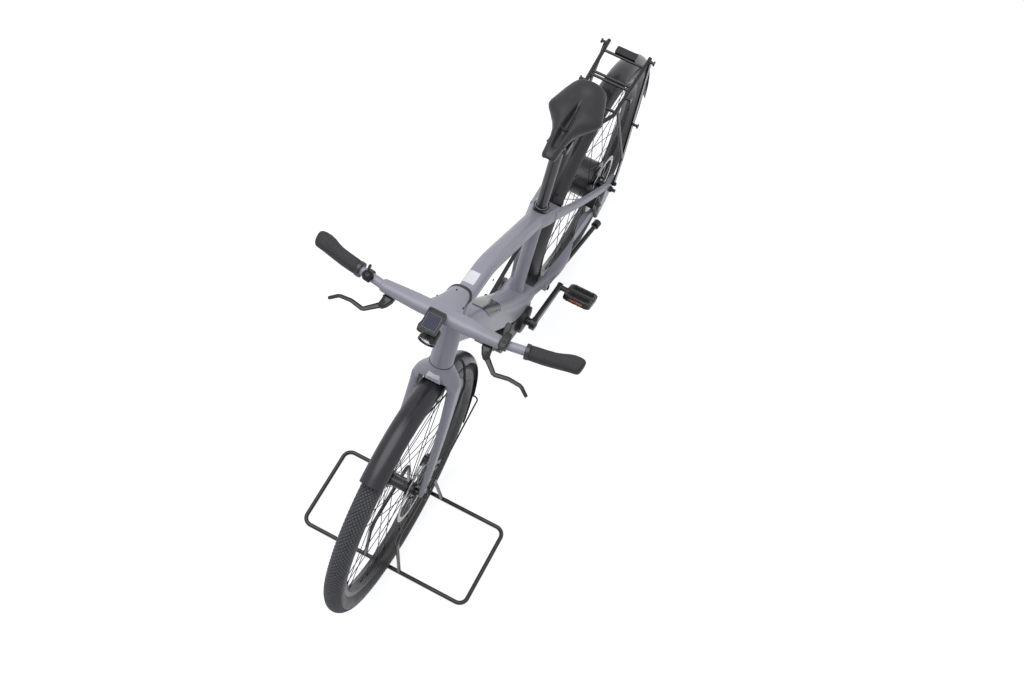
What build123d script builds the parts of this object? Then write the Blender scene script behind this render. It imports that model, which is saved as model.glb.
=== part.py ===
from build123d import *
from math import acos, atan2, cos, degrees, pi, radians, sin
import os

# City bike with a motor at the cranks, in millimetres: +X forward, +Y to the rider's left, +Z up.
# The origin is on the floor, under the middle of the overall length.

# Wheels, both of one size
wheelbase = 1090.0
wheel_radius = 366.0
tyre_section_radius = 27.5
bead_radius = 316.0
rim_shoulder_radius = 304.0
rim_inner_radius = 297.0
rim_half_width = 14.5
rim_nose_half_width = 6.5

# Clearances: soft pieces, running fits, parts that are clamped, and moving parts side by side
soft_gap = 0.3
running_gap = 0.05
seat_gap = 0.3
moving_gap = 5.5
cut_overrun = 20.0

# Spokes, laced in pairs that cross
spoke_radius = 1.0
spoke_pairs_per_side = 8
spoke_rim_offset = 4.0
spoke_head_offset = 2.4
spoke_reach_angle = 52.0
spoke_lean_share = 0.25

# Axles, hubs and brake discs
axle_radius = 6.0
hub_end_radius = 11.0
flange_half_thickness = 1.5
front_hub_half_width = 49.5
front_shell_radius = 15.0
front_flange_radius = 25.0
front_flange_left = 19.0
front_flange_right = 32.0
rear_hub_half_width = 66.5
rear_shell_radius = 57.0
rear_flange_radius = 63.0
rear_flange_left = 27.0
rear_flange_right = 30.0
rear_cover_radius = 46.0
rear_cover_width = 6.0
axle_nut_radius = 9.5
axle_nut_width = 9.0
axle_stub_radius = 5.0
axle_stub_length = 10.0
front_disc_y = 37.0
rear_disc_y = 46.0
disc_radius = 90.0
disc_band_width = 14.0
disc_half_thickness = 0.9
disc_centre_radius = 20.0
disc_arm_count = 6
disc_arm_width = 8.0
disc_arm_sweep = 14.0

# Steering axis, head tube and fork
head_angle = 69.0
fork_rake = 45.0
crown_seat_height = 752.0
head_top_height = 953.0
headset_gap = 0.6
steerer_radius = 14.3
head_tube_radius = 28.0
head_tube_foot_radius = 29.5
head_cut_radius = 36.0
crown_drop = 60.0
crown_width = 122.0
crown_chord = 56.0
crown_corner_share = 0.46
# Share of the crown's drop, and of its width and chord, from the head tube down
crown_shares = ((0.0, 0.46, 1.0), (0.3, 0.62, 1.06), (0.68, 0.92, 1.04), (1.0, 1.0, 0.9))
blade_spread = 49.0
tip_spread = 58.5
blade_chord = 48.0
blade_width = 25.0
blade_corner_share = 0.34
blade_top_drop = 52.0
tip_below_axle = 17.0
# Share of the blade's length, of the way out to the tips and of the way ahead, of its chord and width
blade_shares = ((0.0, 0.0, 0.0, 1.0, 1.0), (0.35, 0.45, 0.1, 0.82, 0.86), (0.85, 0.95, 0.8, 0.56, 0.68),
                (1.0, 1.0, 1.0, 0.5, 0.64))
fork_slot_half_width = 37.0
tip_end_overhang = 3.0
axle_head_radius = 9.0
axle_head_length = 4.0

# Handlebar and stem in one piece
bar_behind_hub = 180.0
bar_above_head = 71.0
bar_step_y = 150.0
bar_tube_end_y = 330.0
bar_sweep_back = 28.0
bar_tube_radius = 11.0
bar_chord = 42.0
bar_depth = 32.0
bar_step_chord = 31.0
bar_step_depth = 26.0
bar_corner_share = 0.38
bar_full_y = 62.0
stem_column_radius = 27.0
stem_skirt_radius = 29.0
stem_skirt_height = 6.4
stem_clear = 0.6
stem_crown_above = 15.5
stem_back_reach = 16.0
stem_back_width = 44.0
stem_width = 50.0
stem_flare_width = 104.0
stem_depth = 34.0
stem_flare_depth = 28.0
stem_neck_share = 0.3
stem_flare_share = 0.86
stem_corner_share = 0.32

# Grips, levers and controls on the bar
grip_inner_y = 208.0
grip_outer_y = 337.0
grip_radius = 16.5
grip_ring_radius = 18.5
grip_ring_length = 9.0
wing_width = 46.0
wing_depth = 20.0
wing_setback = 15.0
wing_corner_share = 0.3
# Share of the grip's length, of the wing's setback, width and depth
wing_shares = ((0.2, 0.0, 0.66, 1.3), (0.62, 1.0, 1.0, 1.1), (0.96, 0.93, 0.96, 1.0))
lever_body_y = 127.0
lever_body_width = 26.0
lever_body_length = 46.0
lever_body_depth = 22.0
lever_body_drop = 24.0
lever_body_ahead = 14.0
lever_body_corner = 7.0
lever_radius = 4.5
lever_bend = 12.0
lever_root_ahead = 32.0
lever_root_drop = 30.0
lever_knee_ahead = 64.0
lever_knee_y = 172.0
lever_tip_y = 245.0
lever_end_y = 257.0
lever_end_ahead = 78.0
lever_knee_drop = 36.0
lever_tip_drop = 48.0
lever_end_drop = 58.0
lever_ball_radius = 6.5
display_length = 64.0
display_width = 45.0
display_depth = 10.0
display_ahead = 30.0
display_aside = 4.0
display_rise = 22.0
display_tilt = 8.0
display_corner = 5.0
display_foot_width = 26.0
display_foot_length = 26.0
display_foot_depth = 16.0
lamp_radius = 20.0
lamp_length = 40.0
lamp_ahead = 58.0
lamp_drop = 30.0
lamp_hood_radius = 22.0
lamp_hood_length = 12.0
lamp_arm_radius = 6.0
lamp_arm_back = 40.0
lamp_arm_rise = 20.0
clamp_width = 12.0
clamp_radius = 15.5
bell_y = 185.0
bell_radius = 14.0
bell_height = 14.0
bell_lap = 4.0
bell_top_share = 0.7
bell_ahead = 8.0
remote_y = 178.0
remote_length = 46.0
remote_width = 20.0
remote_depth = 12.0
remote_rise = 20.0
remote_corner = 4.0

# Frame: bracket, seat tube, top tube, seat cluster and down tube
bracket_behind_hub = 618.0
bracket_height = 300.0
seat_angle = 72.5
seat_tube_radius = 18.0
seat_tube_foot_radius = 24.0
seat_tube_foot_length = 130.0
seat_tube_length = 414.0
seatpost_radius = 15.6
seatpost_insert = 250.0
seatpost_length = 622.0
top_tube_head_drop = 32.0
top_bend_back = 410.0
top_bend_drop = 65.0
top_bend_radius = 200.0
top_tube_seat_length = 374.0
top_tube_width = 48.0
top_tube_depth = 44.0
cluster_ahead = 46.0
cluster_behind = 92.0
# Share of the way along the cluster, and of the tube's width and depth
cluster_shares = ((0.0, 1.0, 1.0), (0.34, 1.42, 1.0), (1.0, 1.72, 0.72))
deck_pocket_length = 34.0
deck_pocket_width = 26.0
deck_pocket_depth = 9.0
deck_pocket_share = 0.76
tube_corner_share = 0.36
down_tube_head_rise = 94.0
down_bend_back = 300.0
down_bend_height = 772.0
down_tube_head_width = 52.0
down_tube_width = 80.0
down_tube_head_depth = 58.0
down_tube_depth = 84.0
down_foot_ahead = 40.0
down_foot_rise = 100.0
down_mid_share = 0.4
down_bend_share = 0.84
down_corner_share = 0.32
# Sections of the yoke that carries the motor: share of the motor's nose reach ahead of the bracket, of the
# motor's height above it, pitch, and share of the down tube's width and depth
yoke_shares = ((0.7, 2.4, 230.0, 0.96, 0.94), (-0.18, 1.0, 204.0, 1.06, 0.92), (-0.72, 0.7, 182.0, 1.06, 0.72))

# Stays and dropouts
drop_inner_y = 67.0
drop_thickness = 12.0
drop_reach = 70.0
drop_rise = 60.0
drop_corner = 7.0
# Share of the dropout's reach ahead of the axle and of its rise above it, round its outline
dropout_shares = ((1.0, -1.1), (0.21, -0.85), (-0.5, -0.23), (-0.57, 0.32), (-0.14, 0.65), (0.43, 0.65),
                  (1.0, -0.35))
chainstay_height = 36.0
chainstay_width = 17.0
chainstay_corner_share = 0.3
chainstay_root_rise = 38.0
chainstay_end_rise = 24.0
chainstay_root_y = 34.0
# Share of the way from bracket to rear axle, of the way out from the root to the dropout, of the width on
# the left and on the right, and of the height
chainstay_shares = ((0.03, -0.02, 1.1, 1.1, 1.6), (0.19, 0.13, 0.72, 0.56, 1.25), (0.26, 0.36, 1.2, 0.8, 1.1),
                    (0.5, 0.72, 1.1, 1.0, 1.0), (0.86, 1.0, 0.8, 0.8, 0.95))
seatstay_root_y = 31.0
seatstay_root_back = 760.0
seatstay_root_height = 640.0
seatstay_end_ahead = 14.0
seatstay_end_rise = 30.0
seatstay_width = 17.0
seatstay_depth = 28.0
seatstay_corner_share = 0.32
# Share of the seat stay's length, of the way out, of its width and of its depth
seatstay_shares = ((0.0, 0.0, 1.1, 1.0), (0.28, 0.38, 0.92, 0.86), (0.62, 0.74, 0.86, 0.76),
                   (1.0, 1.0, 0.75, 0.7))
collar_height = 14.0
collar_radius = 21.5
collar_ear_length = 18.0
collar_ear_width = 14.0

# Motor, and the cover of the charging port on the down tube
motor_half_width = 40.0
motor_radius = 54.0
motor_nose_ahead = 94.0
motor_nose_rise = 36.0
motor_nose_radius = 46.0
motor_face_radius = 41.0
motor_face_half_width = 52.0
motor_belt_face_half_width = 43.5
port_cover_back = 447.0
port_cover_length = 86.0
port_cover_width = 70.0
port_cover_depth = 16.0
port_cover_rise = 4.0
port_cover_corner = 12.0

# Cranks, pedals, sprockets and belt
crank_length = 170.0
crank_angle = 194.0
crank_axle_radius = 11.5
crank_root_y = 75.0
crank_tip_y = 80.5
crank_thickness = 14.0
crank_root_radius = 18.0
crank_tip_radius = 13.0
crank_cap_height = 2.0
crank_arm_shares = ((0.04, 0.92), (0.98, 0.9))
crank_corner_share = 0.3
pedal_axle_radius = 5.0
pedal_collar_radius = 8.0
pedal_inner_y = 105.0
pedal_width = 86.0
pedal_length = 94.0
pedal_thickness = 15.0
pedal_rail = 10.0
pedal_barrel_radius = 10.0
pedal_corner = 16.0
pedal_tilt = -36.0
belt_line = 54.0
belt_half_width = 5.5
belt_thickness = 4.0
belt_gap = 0.6
front_sprocket_radius = 84.0
front_sprocket_band = 10.0
front_sprocket_hub_radius = 28.0
front_sprocket_arm_width = 15.0
front_sprocket_arm_count = 5
front_sprocket_arm_sweep = 10.0
rear_sprocket_radius = 42.0
rear_sprocket_hub_radius = 24.0

# Saddle
saddle_nose_back = 728.0
saddle_length = 256.0
saddle_width = 146.0
saddle_height = 950.0
saddle_depth = 36.0
saddle_corner_share = 0.42
# Share of the saddle's length from the nose, of its width and depth, and of its depth that it is dropped by
saddle_shares = ((0.0, 0.2, 0.5, 0.5), (0.12, 0.27, 0.62, 0.2), (0.34, 0.36, 0.8, 0.05), (0.55, 0.66, 0.95, 0.0),
                 (0.8, 1.0, 1.0, -0.04), (1.0, 0.72, 0.6, 0.05))
rail_radius = 3.5
rail_spread = 22.0
rail_drop = 50.0
rail_front_share = 0.18
rail_back_share = 0.78
rail_bend = 12.0
rail_rise_run = 20.0
saddle_clamp_length = 42.0
saddle_clamp_width = 58.0
saddle_clamp_depth = 20.0
saddle_clamp_corner = 5.0

# Mudguards, with the front one's stay and flap
guard_top_radius = 384.0
guard_edge_radius = 366.0
guard_section_radius = 33.0
guard_sheet = 1.8
front_guard_start = 66.0
front_guard_end = 196.0
flap_start = 188.0
flap_end = 213.0
flap_half_width = 26.0
flap_sheet = 2.2
rear_guard_start = 2.0
rear_guard_end = 184.0
guard_stay_radius = 2.2
guard_stay_bend = 14.0
guard_stay_angle = 199.0
guard_stay_eye_rise = 24.0
guard_stay_eye_back = 18.0
guard_stay_eye_y = 74.0
guard_stay_eye_radius = 4.0
guard_stay_side_y = 38.0

# Front brake hose, from the back of the crown round a loop and down the left blade to the caliper
hose_radius = 3.2
hose_bend = 30.0
hose_root_height = 724.0
hose_root_share = 0.56
hose_root_y = 14.0
hose_loop_back = 66.0
hose_loop_out = 8.0
hose_drop_height = 664.0
hose_drop_back = 52.0
hose_blade_y = 60.0
hose_turn_height = 560.0
hose_turn_back = 26.0
hose_caliper_out = 8.0
hose_caliper_run = 26.0

# Brake calipers, at a place ahead of and above the axle
caliper_length = 62.0
caliper_height = 30.0
caliper_width = 36.0
caliper_corner = 8.0
front_caliper_ahead = -74.0
front_caliper_rise = 44.0
rear_caliper_ahead = 74.0
rear_caliper_rise = 36.0
caliper_outset = 6.0
caliper_post_radius = 6.0
caliper_post_spread = 20.0
caliper_post_reach = 46.0

# Rack with its legs, hooks and lamp
rack_height = 770.0
rack_tube_radius = 5.5
rack_rear_back = 1262.0
rack_rear_y = 62.0
rack_corner_back = 1042.0
rack_corner_y = 56.0
rack_front_back = 1000.0
rack_front_y = 36.0
rack_bend = 20.0
rack_bar_back = 1140.0
rack_bar_gap = 12.0
rack_bar_radius = 4.0
rack_leg_width = 22.0
rack_leg_thickness = 5.0
rack_leg_top_back = 1250.0
rack_leg_top_y = 68.0
rack_leg_foot_y = 84.0
rack_foot_back = 1108.0
rack_foot_height = 372.0
rack_leg_knee_back = 1132.0
rack_leg_knee_height = 466.0
rack_strut_radius = 4.5
rack_strut_top_back = 1064.0
rack_hook_radius = 4.0
rack_hook_length = 15.0
rack_hook_head_radius = 7.0
rack_hook_head_length = 4.0
rack_hook_low_share = 0.62
rack_hook_mid_back = 1108.0
rack_foot_bolt_radius = 6.0
rack_tongue_width = 30.0
rack_tongue_length = 26.0
rack_tongue_back = 1052.0
rack_tongue_depth = 24.0
lamp_block_back = 1240.0
lamp_block_length = 24.0
lamp_block_depth = 14.0
lamp_block_width = 62.0

# Kickstand
kick_pivot_back = 752.0
kick_pivot_y = 48.0
kick_pivot_height = 282.0
kick_length = 288.0
kick_radius = 7.0
kick_hub_radius = 9.0
kick_hub_half_length = 9.0
kick_foot_radius = 12.0
kick_foot_length = 18.0
kick_block_length = 40.0
kick_block_width = 22.0
kick_block_height = 32.0
kick_block_inset = 2.0
kick_block_rise = 26.0
kick_gap = 0.4
# Directions of the leg, folded and down, as shares of its length
kick_folded_shares = (-0.98, 0.10, -0.17)
kick_down_shares = (0.10, 0.28, -0.95)

# Floor stand that holds the front wheel
stand_tube_radius = 6.0
stand_half_span = 256.0
stand_front = 112.0
stand_back = 135.0
stand_bend = 24.0
hoop_radius = 5.0
hoop_foot_y = 54.0
hoop_y = 38.8
hoop_height = 222.0
hoop_front = 96.0
hoop_back = 106.0
hoop_bend = 34.0

hub_x = (wheelbase + guard_top_radius - wheel_radius) / 2
rear_x = hub_x - wheelbase
bracket_x = hub_x - bracket_behind_hub
bar_x = hub_x - bar_behind_hub
bar_height = head_top_height + bar_above_head

steer_up = Vector(-cos(radians(head_angle)), 0, sin(radians(head_angle)))
steer_ahead = Vector(sin(radians(head_angle)), 0, cos(radians(head_angle)))
axis_foot = Vector(hub_x - fork_rake / sin(radians(head_angle)), 0, wheel_radius)
seat_up = Vector(-cos(radians(seat_angle)), 0, sin(radians(seat_angle)))
bracket = Vector(bracket_x, 0, bracket_height)
left = Vector(0, 1, 0)


def steer_point(height, ahead=0.0, side=0.0):
    """Point at a height on the steering axis, moved ahead of it and to the side."""
    along = (height - axis_foot.Z) / steer_up.Z
    return axis_foot + steer_up * along + steer_ahead * ahead + left * side


def section(origin, across, along, width, depth, corner_share):
    """Rounded section at a point, with its width laid across and its normal laid along."""
    plane = Plane(origin=origin, x_dir=across, z_dir=along)
    return plane * RectangleRounded(width, depth, min(width, depth) * corner_share)


def pitched(pitch):
    """Direction in the middle plane at an angle above straight ahead."""
    return Vector(cos(radians(pitch)), 0, sin(radians(pitch)))


def rod(start, end, radius, end_radius=None):
    """Round bar, or a cone, between two points."""
    start = Vector(start)
    run = Vector(end) - start
    if end_radius is None:
        return Solid.make_cylinder(radius, run.length, Plane(origin=start, z_dir=run))
    return Solid.make_cone(radius, end_radius, run.length, Plane(origin=start, z_dir=run))


def cross_rod(x, z, low, high, radius):
    """Round bar straight across the bike."""
    return rod((x, low, z), (x, high, z), radius)


def bent_tube(points, bend, radius):
    """Round tube through the points with one bend radius."""
    path = FilletPolyline(*points, radius=bend)
    return sweep(Plane(origin=path @ 0, z_dir=path % 0) * Circle(radius), path=path)


def both_sides(shape):
    """The shape and its mirror image across the middle plane."""
    return shape + mirror(shape, about=Plane.XZ)


def upright(x, y, z, face, thickness):
    """Upright plate from a face drawn ahead and up, with its middle at the given place."""
    return Pos(x, y, z) * Rot(90, 0, 0) * extrude(face, amount=thickness / 2, both=True)


def turned(profile, x, start=0.0, sweep_angle=360.0):
    """Turn a profile drawn as (radius, across) about a wheel axis at x."""
    solid = revolve(profile, axis=Axis.Y, revolution_arc=sweep_angle)
    return Pos(x, 0, wheel_radius) * Rot(0, -start - sweep_angle, 0) * solid


def ring(outer, inner, low, high):
    """Ring section between two radii and two places across the wheel."""
    return Pos((outer + inner) / 2, (low + high) / 2) * Rectangle(outer - inner, high - low)


def arms(count, inner, outer, width, sweep_angle):
    """Face of straight arms that lean by an angle between two radii."""
    end = Vector(outer * cos(radians(sweep_angle)), outer * sin(radians(sweep_angle)))
    run = end - Vector(inner, 0)
    middle = Vector(inner, 0) + run / 2
    arm = Pos(middle.X, middle.Y) * Rot(0, 0, degrees(atan2(run.Y, run.X))) * Rectangle(run.length, width)
    face = arm
    for i in range(1, count):
        face += Rot(0, 0, i * 360 / count) * arm
    return face


nodes = {}

# Tyres and rims: a round casing that sits on the rim's bead, and a rim with a narrow nose
casing = Pos(wheel_radius - tyre_section_radius, 0) * Circle(tyre_section_radius)
casing -= Pos(bead_radius / 2, 0) * Rectangle(bead_radius, wheel_radius)
rim_face = make_face(Polyline(
    (bead_radius - soft_gap, -rim_half_width),
    (bead_radius - soft_gap, rim_half_width),
    (rim_shoulder_radius, rim_half_width),
    (rim_inner_radius, rim_nose_half_width),
    (rim_inner_radius, -rim_nose_half_width),
    (rim_shoulder_radius, -rim_half_width),
    close=True))
bore = axle_radius + running_gap

# One row per wheel: name, axle x, half width, shell radius, flange radius, flanges to the left and right,
# and the disc's place
wheels = (
    ("front", hub_x, front_hub_half_width, front_shell_radius, front_flange_radius, front_flange_left,
     -front_flange_right, front_disc_y),
    ("rear", rear_x, rear_hub_half_width, rear_shell_radius, rear_flange_radius, rear_flange_left,
     -rear_flange_right, rear_disc_y),
)
for name, x, half_width, shell, flange, flange_left, flange_right, disc_y in wheels:
    nodes[name + "_tyre"] = turned(casing, x)
    nodes[name + "_rim"] = turned(rim_face, x)
    body = turned(ring(shell, bore, flange_right, flange_left), x)
    body += turned(ring(hub_end_radius, bore, -half_width, half_width), x)
    for y in (flange_left, flange_right):
        body += turned(ring(flange, bore, y - flange_half_thickness, y + flange_half_thickness), x)
    body += turned(ring(disc_centre_radius, bore, flange_left, disc_y - disc_half_thickness), x)
    if name == "rear":
        teeth_in = -belt_line + belt_half_width - belt_gap
        teeth_out = -belt_line - belt_half_width + belt_gap
        body += turned(ring(rear_sprocket_radius, bore, teeth_out, teeth_in), x)
        body += turned(ring(rear_sprocket_hub_radius, bore, teeth_out, flange_right), x)
        body += turned(ring(rear_cover_radius, bore, flange_left, flange_left + rear_cover_width), x)
    nodes[name + "_hub"] = body
    disc = Circle(disc_radius) - Circle(disc_radius - disc_band_width)
    disc += arms(disc_arm_count, (hub_end_radius + disc_centre_radius) / 2,
                 disc_radius - disc_band_width / 2, disc_arm_width, disc_arm_sweep)
    disc += Circle(disc_centre_radius)
    disc -= Circle(hub_end_radius)
    nodes[name + "_disc"] = upright(x, disc_y, wheel_radius, disc, disc_half_thickness * 2)

    # A spoke's square end leans against flange and rim, so each end stops short by its own slant
    reach = radians(spoke_reach_angle)
    hub_slant = atan2(rim_inner_radius * sin(reach), rim_inner_radius * cos(reach) - flange)
    rim_slant = atan2(flange * sin(reach), rim_inner_radius - flange * cos(reach))
    start_radius = flange + seat_gap + spoke_radius * sin(hub_slant)
    end_radius = rim_inner_radius - seat_gap - spoke_radius * sin(rim_slant)
    pitch = 2 * pi / spoke_pairs_per_side
    spokes = []
    for side, flange_y, stagger in ((1, flange_left, pitch / 2), (-1, flange_right, 0)):
        for i in range(spoke_pairs_per_side):
            for lean in (1, -1):
                angle = (i + lean * spoke_lean_share) * pitch + stagger
                far = angle + lean * reach
                start = Vector(start_radius * cos(angle), 0, start_radius * sin(angle))
                end = Vector(end_radius * cos(far), 0, end_radius * sin(far))
                centre = Vector(x, 0, wheel_radius)
                spokes.append(rod(centre + start + left * (flange_y + lean * spoke_head_offset),
                                  centre + end + left * side * spoke_rim_offset, spoke_radius))
    nodes[name + "_spokes"] = Compound(children=spokes)

# Fork: a crown that swells from the head tube into two shoulders, two blades and the steerer
crown = loft([
    section(steer_point(crown_seat_height - crown_drop * drop), steer_ahead, steer_up,
            crown_chord * chord, crown_width * width, crown_corner_share)
    for drop, width, chord in crown_shares])
blade_top = crown_seat_height - blade_top_drop
blade_foot = wheel_radius - tip_below_axle
blade = loft([
    section(steer_point(blade_top + (blade_foot - blade_top) * drop, fork_rake * ahead,
                        blade_spread + (tip_spread - blade_spread) * out),
            steer_ahead, steer_up, blade_chord * chord, blade_width * width, blade_corner_share)
    for drop, out, ahead, chord, width in blade_shares])
fork = both_sides(blade) + crown
fork += rod(steer_point(crown_seat_height), steer_point(head_top_height), steerer_radius)
guard_slot = guard_top_radius + seat_gap
fork -= cross_rod(hub_x, wheel_radius, -fork_slot_half_width, fork_slot_half_width, guard_slot)
fork -= cross_rod(hub_x, wheel_radius, -crown_width, crown_width, axle_radius)
nodes["fork"] = fork
axle_half = tip_spread + blade_width * blade_shares[-1][-1] / 2 + tip_end_overhang
axle = cross_rod(hub_x, wheel_radius, -axle_half, axle_half, axle_radius)
axle += both_sides(cross_rod(hub_x, wheel_radius, axle_half, axle_half + axle_head_length, axle_head_radius))
nodes["front_axle"] = axle

# Handlebar and stem in one: a column on the steering axis, a flared stem and a thick bar that steps down
bar_centre = Vector(bar_x, 0, bar_height)
stem_rise = (bar_centre - axis_foot).dot(steer_up) * steer_up.Z
stem_height = axis_foot.Z + stem_rise
stem_reach = (bar_centre - axis_foot).dot(steer_ahead)
stem_foot = head_top_height + headset_gap + stem_skirt_height + stem_clear
column = rod(steer_point(stem_foot), steer_point(stem_height) + steer_up * stem_crown_above, stem_column_radius)
stem = loft([
    section(steer_point(stem_height, ahead), left, steer_ahead, width, depth, stem_corner_share)
    for ahead, width, depth in (
        (-stem_back_reach, stem_back_width, stem_depth),
        (stem_reach * stem_neck_share, stem_width, stem_depth),
        (stem_reach * stem_flare_share, stem_flare_width, stem_flare_depth),
        (stem_reach, stem_flare_width, stem_flare_depth))])
thick = loft([
    section(bar_centre + left * y, steer_ahead, left, chord, depth, bar_corner_share)
    for y, chord, depth in (
        (0, bar_chord, bar_depth),
        (bar_full_y, bar_chord, bar_depth),
        (bar_step_y, bar_step_chord, bar_step_depth))])


def bar_point(y, side=1):
    """Point on the thin bar's axis at a distance from the middle plane."""
    share = (y - bar_step_y) / (bar_tube_end_y - bar_step_y)
    return Vector(bar_x - bar_sweep_back * share, side * y, bar_height)


thin = rod(bar_point(bar_step_y - bar_depth), bar_point(bar_tube_end_y), bar_tube_radius)
cockpit = both_sides(thick + thin) + stem + column
nodes["cockpit"] = cockpit
cover_foot = steer_point(head_top_height + headset_gap)
nodes["headset_cover"] = rod(
    cover_foot, cover_foot + steer_up * stem_skirt_height, stem_skirt_radius, stem_column_radius) - rod(
    steer_point(head_top_height) - steer_up * cut_overrun,
    steer_point(head_top_height) + steer_up * cut_overrun, steerer_radius + running_gap)

# Frame: head tube, bent top tube with the seat cluster, down tube, seat tube and the motor's yoke
head_foot = steer_point(crown_seat_height + headset_gap)
head_top = steer_point(head_top_height)
seat_joint = bracket + seat_up * top_tube_seat_length
top_path = FilletPolyline(
    steer_point(head_top_height - top_tube_head_drop),
    (hub_x - top_bend_back, 0, head_top_height - top_bend_drop),
    seat_joint,
    radius=top_bend_radius)
top_tube = sweep(
    section(top_path @ 0, left, top_path % 0, top_tube_width, top_tube_depth, tube_corner_share), path=top_path)
back = (top_path % 1).normalized()
cluster_start = seat_joint - back * cluster_ahead
cluster_run = cluster_ahead + cluster_behind
cluster = loft([
    section(cluster_start + back * cluster_run * share, left, back, top_tube_width * width,
            top_tube_depth * depth, tube_corner_share)
    for share, width, depth in cluster_shares])
pocket_plane = Plane(
    origin=cluster_start + back * cluster_run * deck_pocket_share + back.cross(left) * -top_tube_depth / 2,
    x_dir=back, z_dir=back.cross(left))

down_bend = Vector(hub_x - down_bend_back, 0, down_bend_height)
down_head = steer_point(crown_seat_height + down_tube_head_rise)
yoke_points = [
    Vector(bracket_x + motor_nose_ahead * ahead, 0, bracket_height + motor_radius * rise)
    for ahead, rise, pitch, width, depth in yoke_shares]
down_foot = bracket + Vector(down_foot_ahead, 0, down_foot_rise)
slope = (down_foot - down_bend).normalized()
down_tube = loft([
    section(down_head, left, (down_bend - down_head), down_tube_head_width, down_tube_head_depth,
            down_corner_share),
    section(down_bend, left, slope + (down_bend - down_head).normalized(), down_tube_width * down_bend_share,
            down_tube_depth * down_bend_share, down_corner_share),
    section(down_bend + (down_foot - down_bend) * down_mid_share, left, slope, down_tube_width,
            down_tube_depth, down_corner_share),
    section(down_foot, left, slope, down_tube_width, down_tube_depth, down_corner_share)])
yoke = loft([
    section(point, left, pitched(pitch), down_tube_width * width, down_tube_depth * depth, down_corner_share)
    for point, (ahead, rise, pitch, width, depth) in zip(yoke_points, yoke_shares)])
seat_tube = rod(bracket, bracket + seat_up * seat_tube_length, seat_tube_radius)
seat_tube += rod(bracket + seat_up * motor_radius, bracket + seat_up * seat_tube_foot_length,
                 seat_tube_foot_radius, seat_tube_radius)
frame = rod(head_foot, head_top, head_tube_foot_radius, head_tube_radius)
frame += top_tube + cluster + down_tube + yoke + seat_tube

# Stays and dropouts, drawn for each side because the belt passes on the right
drop_y = drop_inner_y + drop_thickness / 2
drop_face = make_face(Polyline(
    *[(drop_reach * ahead, drop_rise * up) for ahead, up in dropout_shares], close=True))
drop_face = fillet(drop_face.vertices(), drop_corner)
stay_root = Vector(hub_x - seatstay_root_back, 0, seatstay_root_height)
stay_end = Vector(rear_x + seatstay_end_ahead, 0, wheel_radius + seatstay_end_rise)
for side in (1, -1):
    frame += upright(rear_x, side * drop_y, wheel_radius, drop_face, drop_thickness)
    frame += loft([
        section(Vector(bracket_x + (rear_x - bracket_x) * share,
                       side * (chainstay_root_y + (drop_y - chainstay_root_y) * out),
                       bracket_height + chainstay_root_rise
                       + (chainstay_end_rise - chainstay_root_rise) * share),
                left, Vector(-1, 0, 0), chainstay_width * (wide if side > 0 else narrow),
                chainstay_height * tall, chainstay_corner_share)
        for share, out, wide, narrow, tall in chainstay_shares])
    frame += loft([
        section(stay_root + (stay_end - stay_root) * share
                + left * side * (seatstay_root_y + (drop_y - seatstay_root_y) * out),
                left, stay_end - stay_root, seatstay_width * width, seatstay_depth * depth,
                seatstay_corner_share)
        for share, out, width, depth in seatstay_shares])

# Block under the left stay that carries the kickstand's pivot
pivot = Vector(hub_x - kick_pivot_back, kick_pivot_y, kick_pivot_height)
folded = Vector(*kick_folded_shares).normalized()
down = Vector(*kick_down_shares).normalized()
swing = folded.cross(down).normalized()
foot = pivot + folded * kick_length
frame += Pos(pivot.X, pivot.Y - kick_block_inset, pivot.Z + kick_block_rise) * Box(
    kick_block_length, kick_block_width, kick_block_height)
frame -= rod(pivot - swing * kick_block_length, pivot + swing * kick_block_length, kick_hub_radius + kick_gap)

# Motor: one block with a round face to each side, which the yoke is cut to fit
motor_face = make_hull(
    Circle(motor_radius).edges() + (Pos(motor_nose_ahead, motor_nose_rise) * Circle(motor_nose_radius)).edges())
motor = upright(bracket_x, 0, bracket_height, motor_face, motor_half_width * 2)
motor += cross_rod(bracket_x, bracket_height, -motor_belt_face_half_width, motor_face_half_width,
                   motor_face_radius)
frame -= motor
frame -= rod(head_top, head_top + steer_up * head_cut_radius * 2, head_cut_radius)
frame -= rod(head_foot - steer_up * head_cut_radius * 2, head_foot, head_cut_radius)
frame -= rod(head_foot - steer_up * cut_overrun, head_top + steer_up * cut_overrun, steerer_radius + running_gap)
frame -= rod(bracket + seat_up * (seat_tube_length - seatpost_insert),
             bracket + seat_up * (seat_tube_length + cut_overrun), seatpost_radius + running_gap)
frame -= cross_rod(rear_x, wheel_radius, -drop_y * 2, drop_y * 2, axle_radius)
frame -= cross_rod(rear_x, wheel_radius, -guard_section_radius, guard_section_radius, guard_slot)
collar_foot = bracket + seat_up * (seat_tube_length - collar_height)
collar_top = bracket + seat_up * (seat_tube_length + cut_overrun)
frame -= rod(collar_foot, collar_top, collar_radius + seat_gap) - rod(collar_foot, collar_top, seat_tube_radius)
frame -= extrude(pocket_plane * RectangleRounded(
    deck_pocket_length, deck_pocket_width, deck_pocket_width * tube_corner_share),
    amount=deck_pocket_depth, both=True)
nodes["frame"] = frame
nodes["motor"] = motor - cross_rod(bracket_x, bracket_height, -motor_radius * 2, motor_radius * 2,
                                   crank_axle_radius + running_gap)

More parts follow.
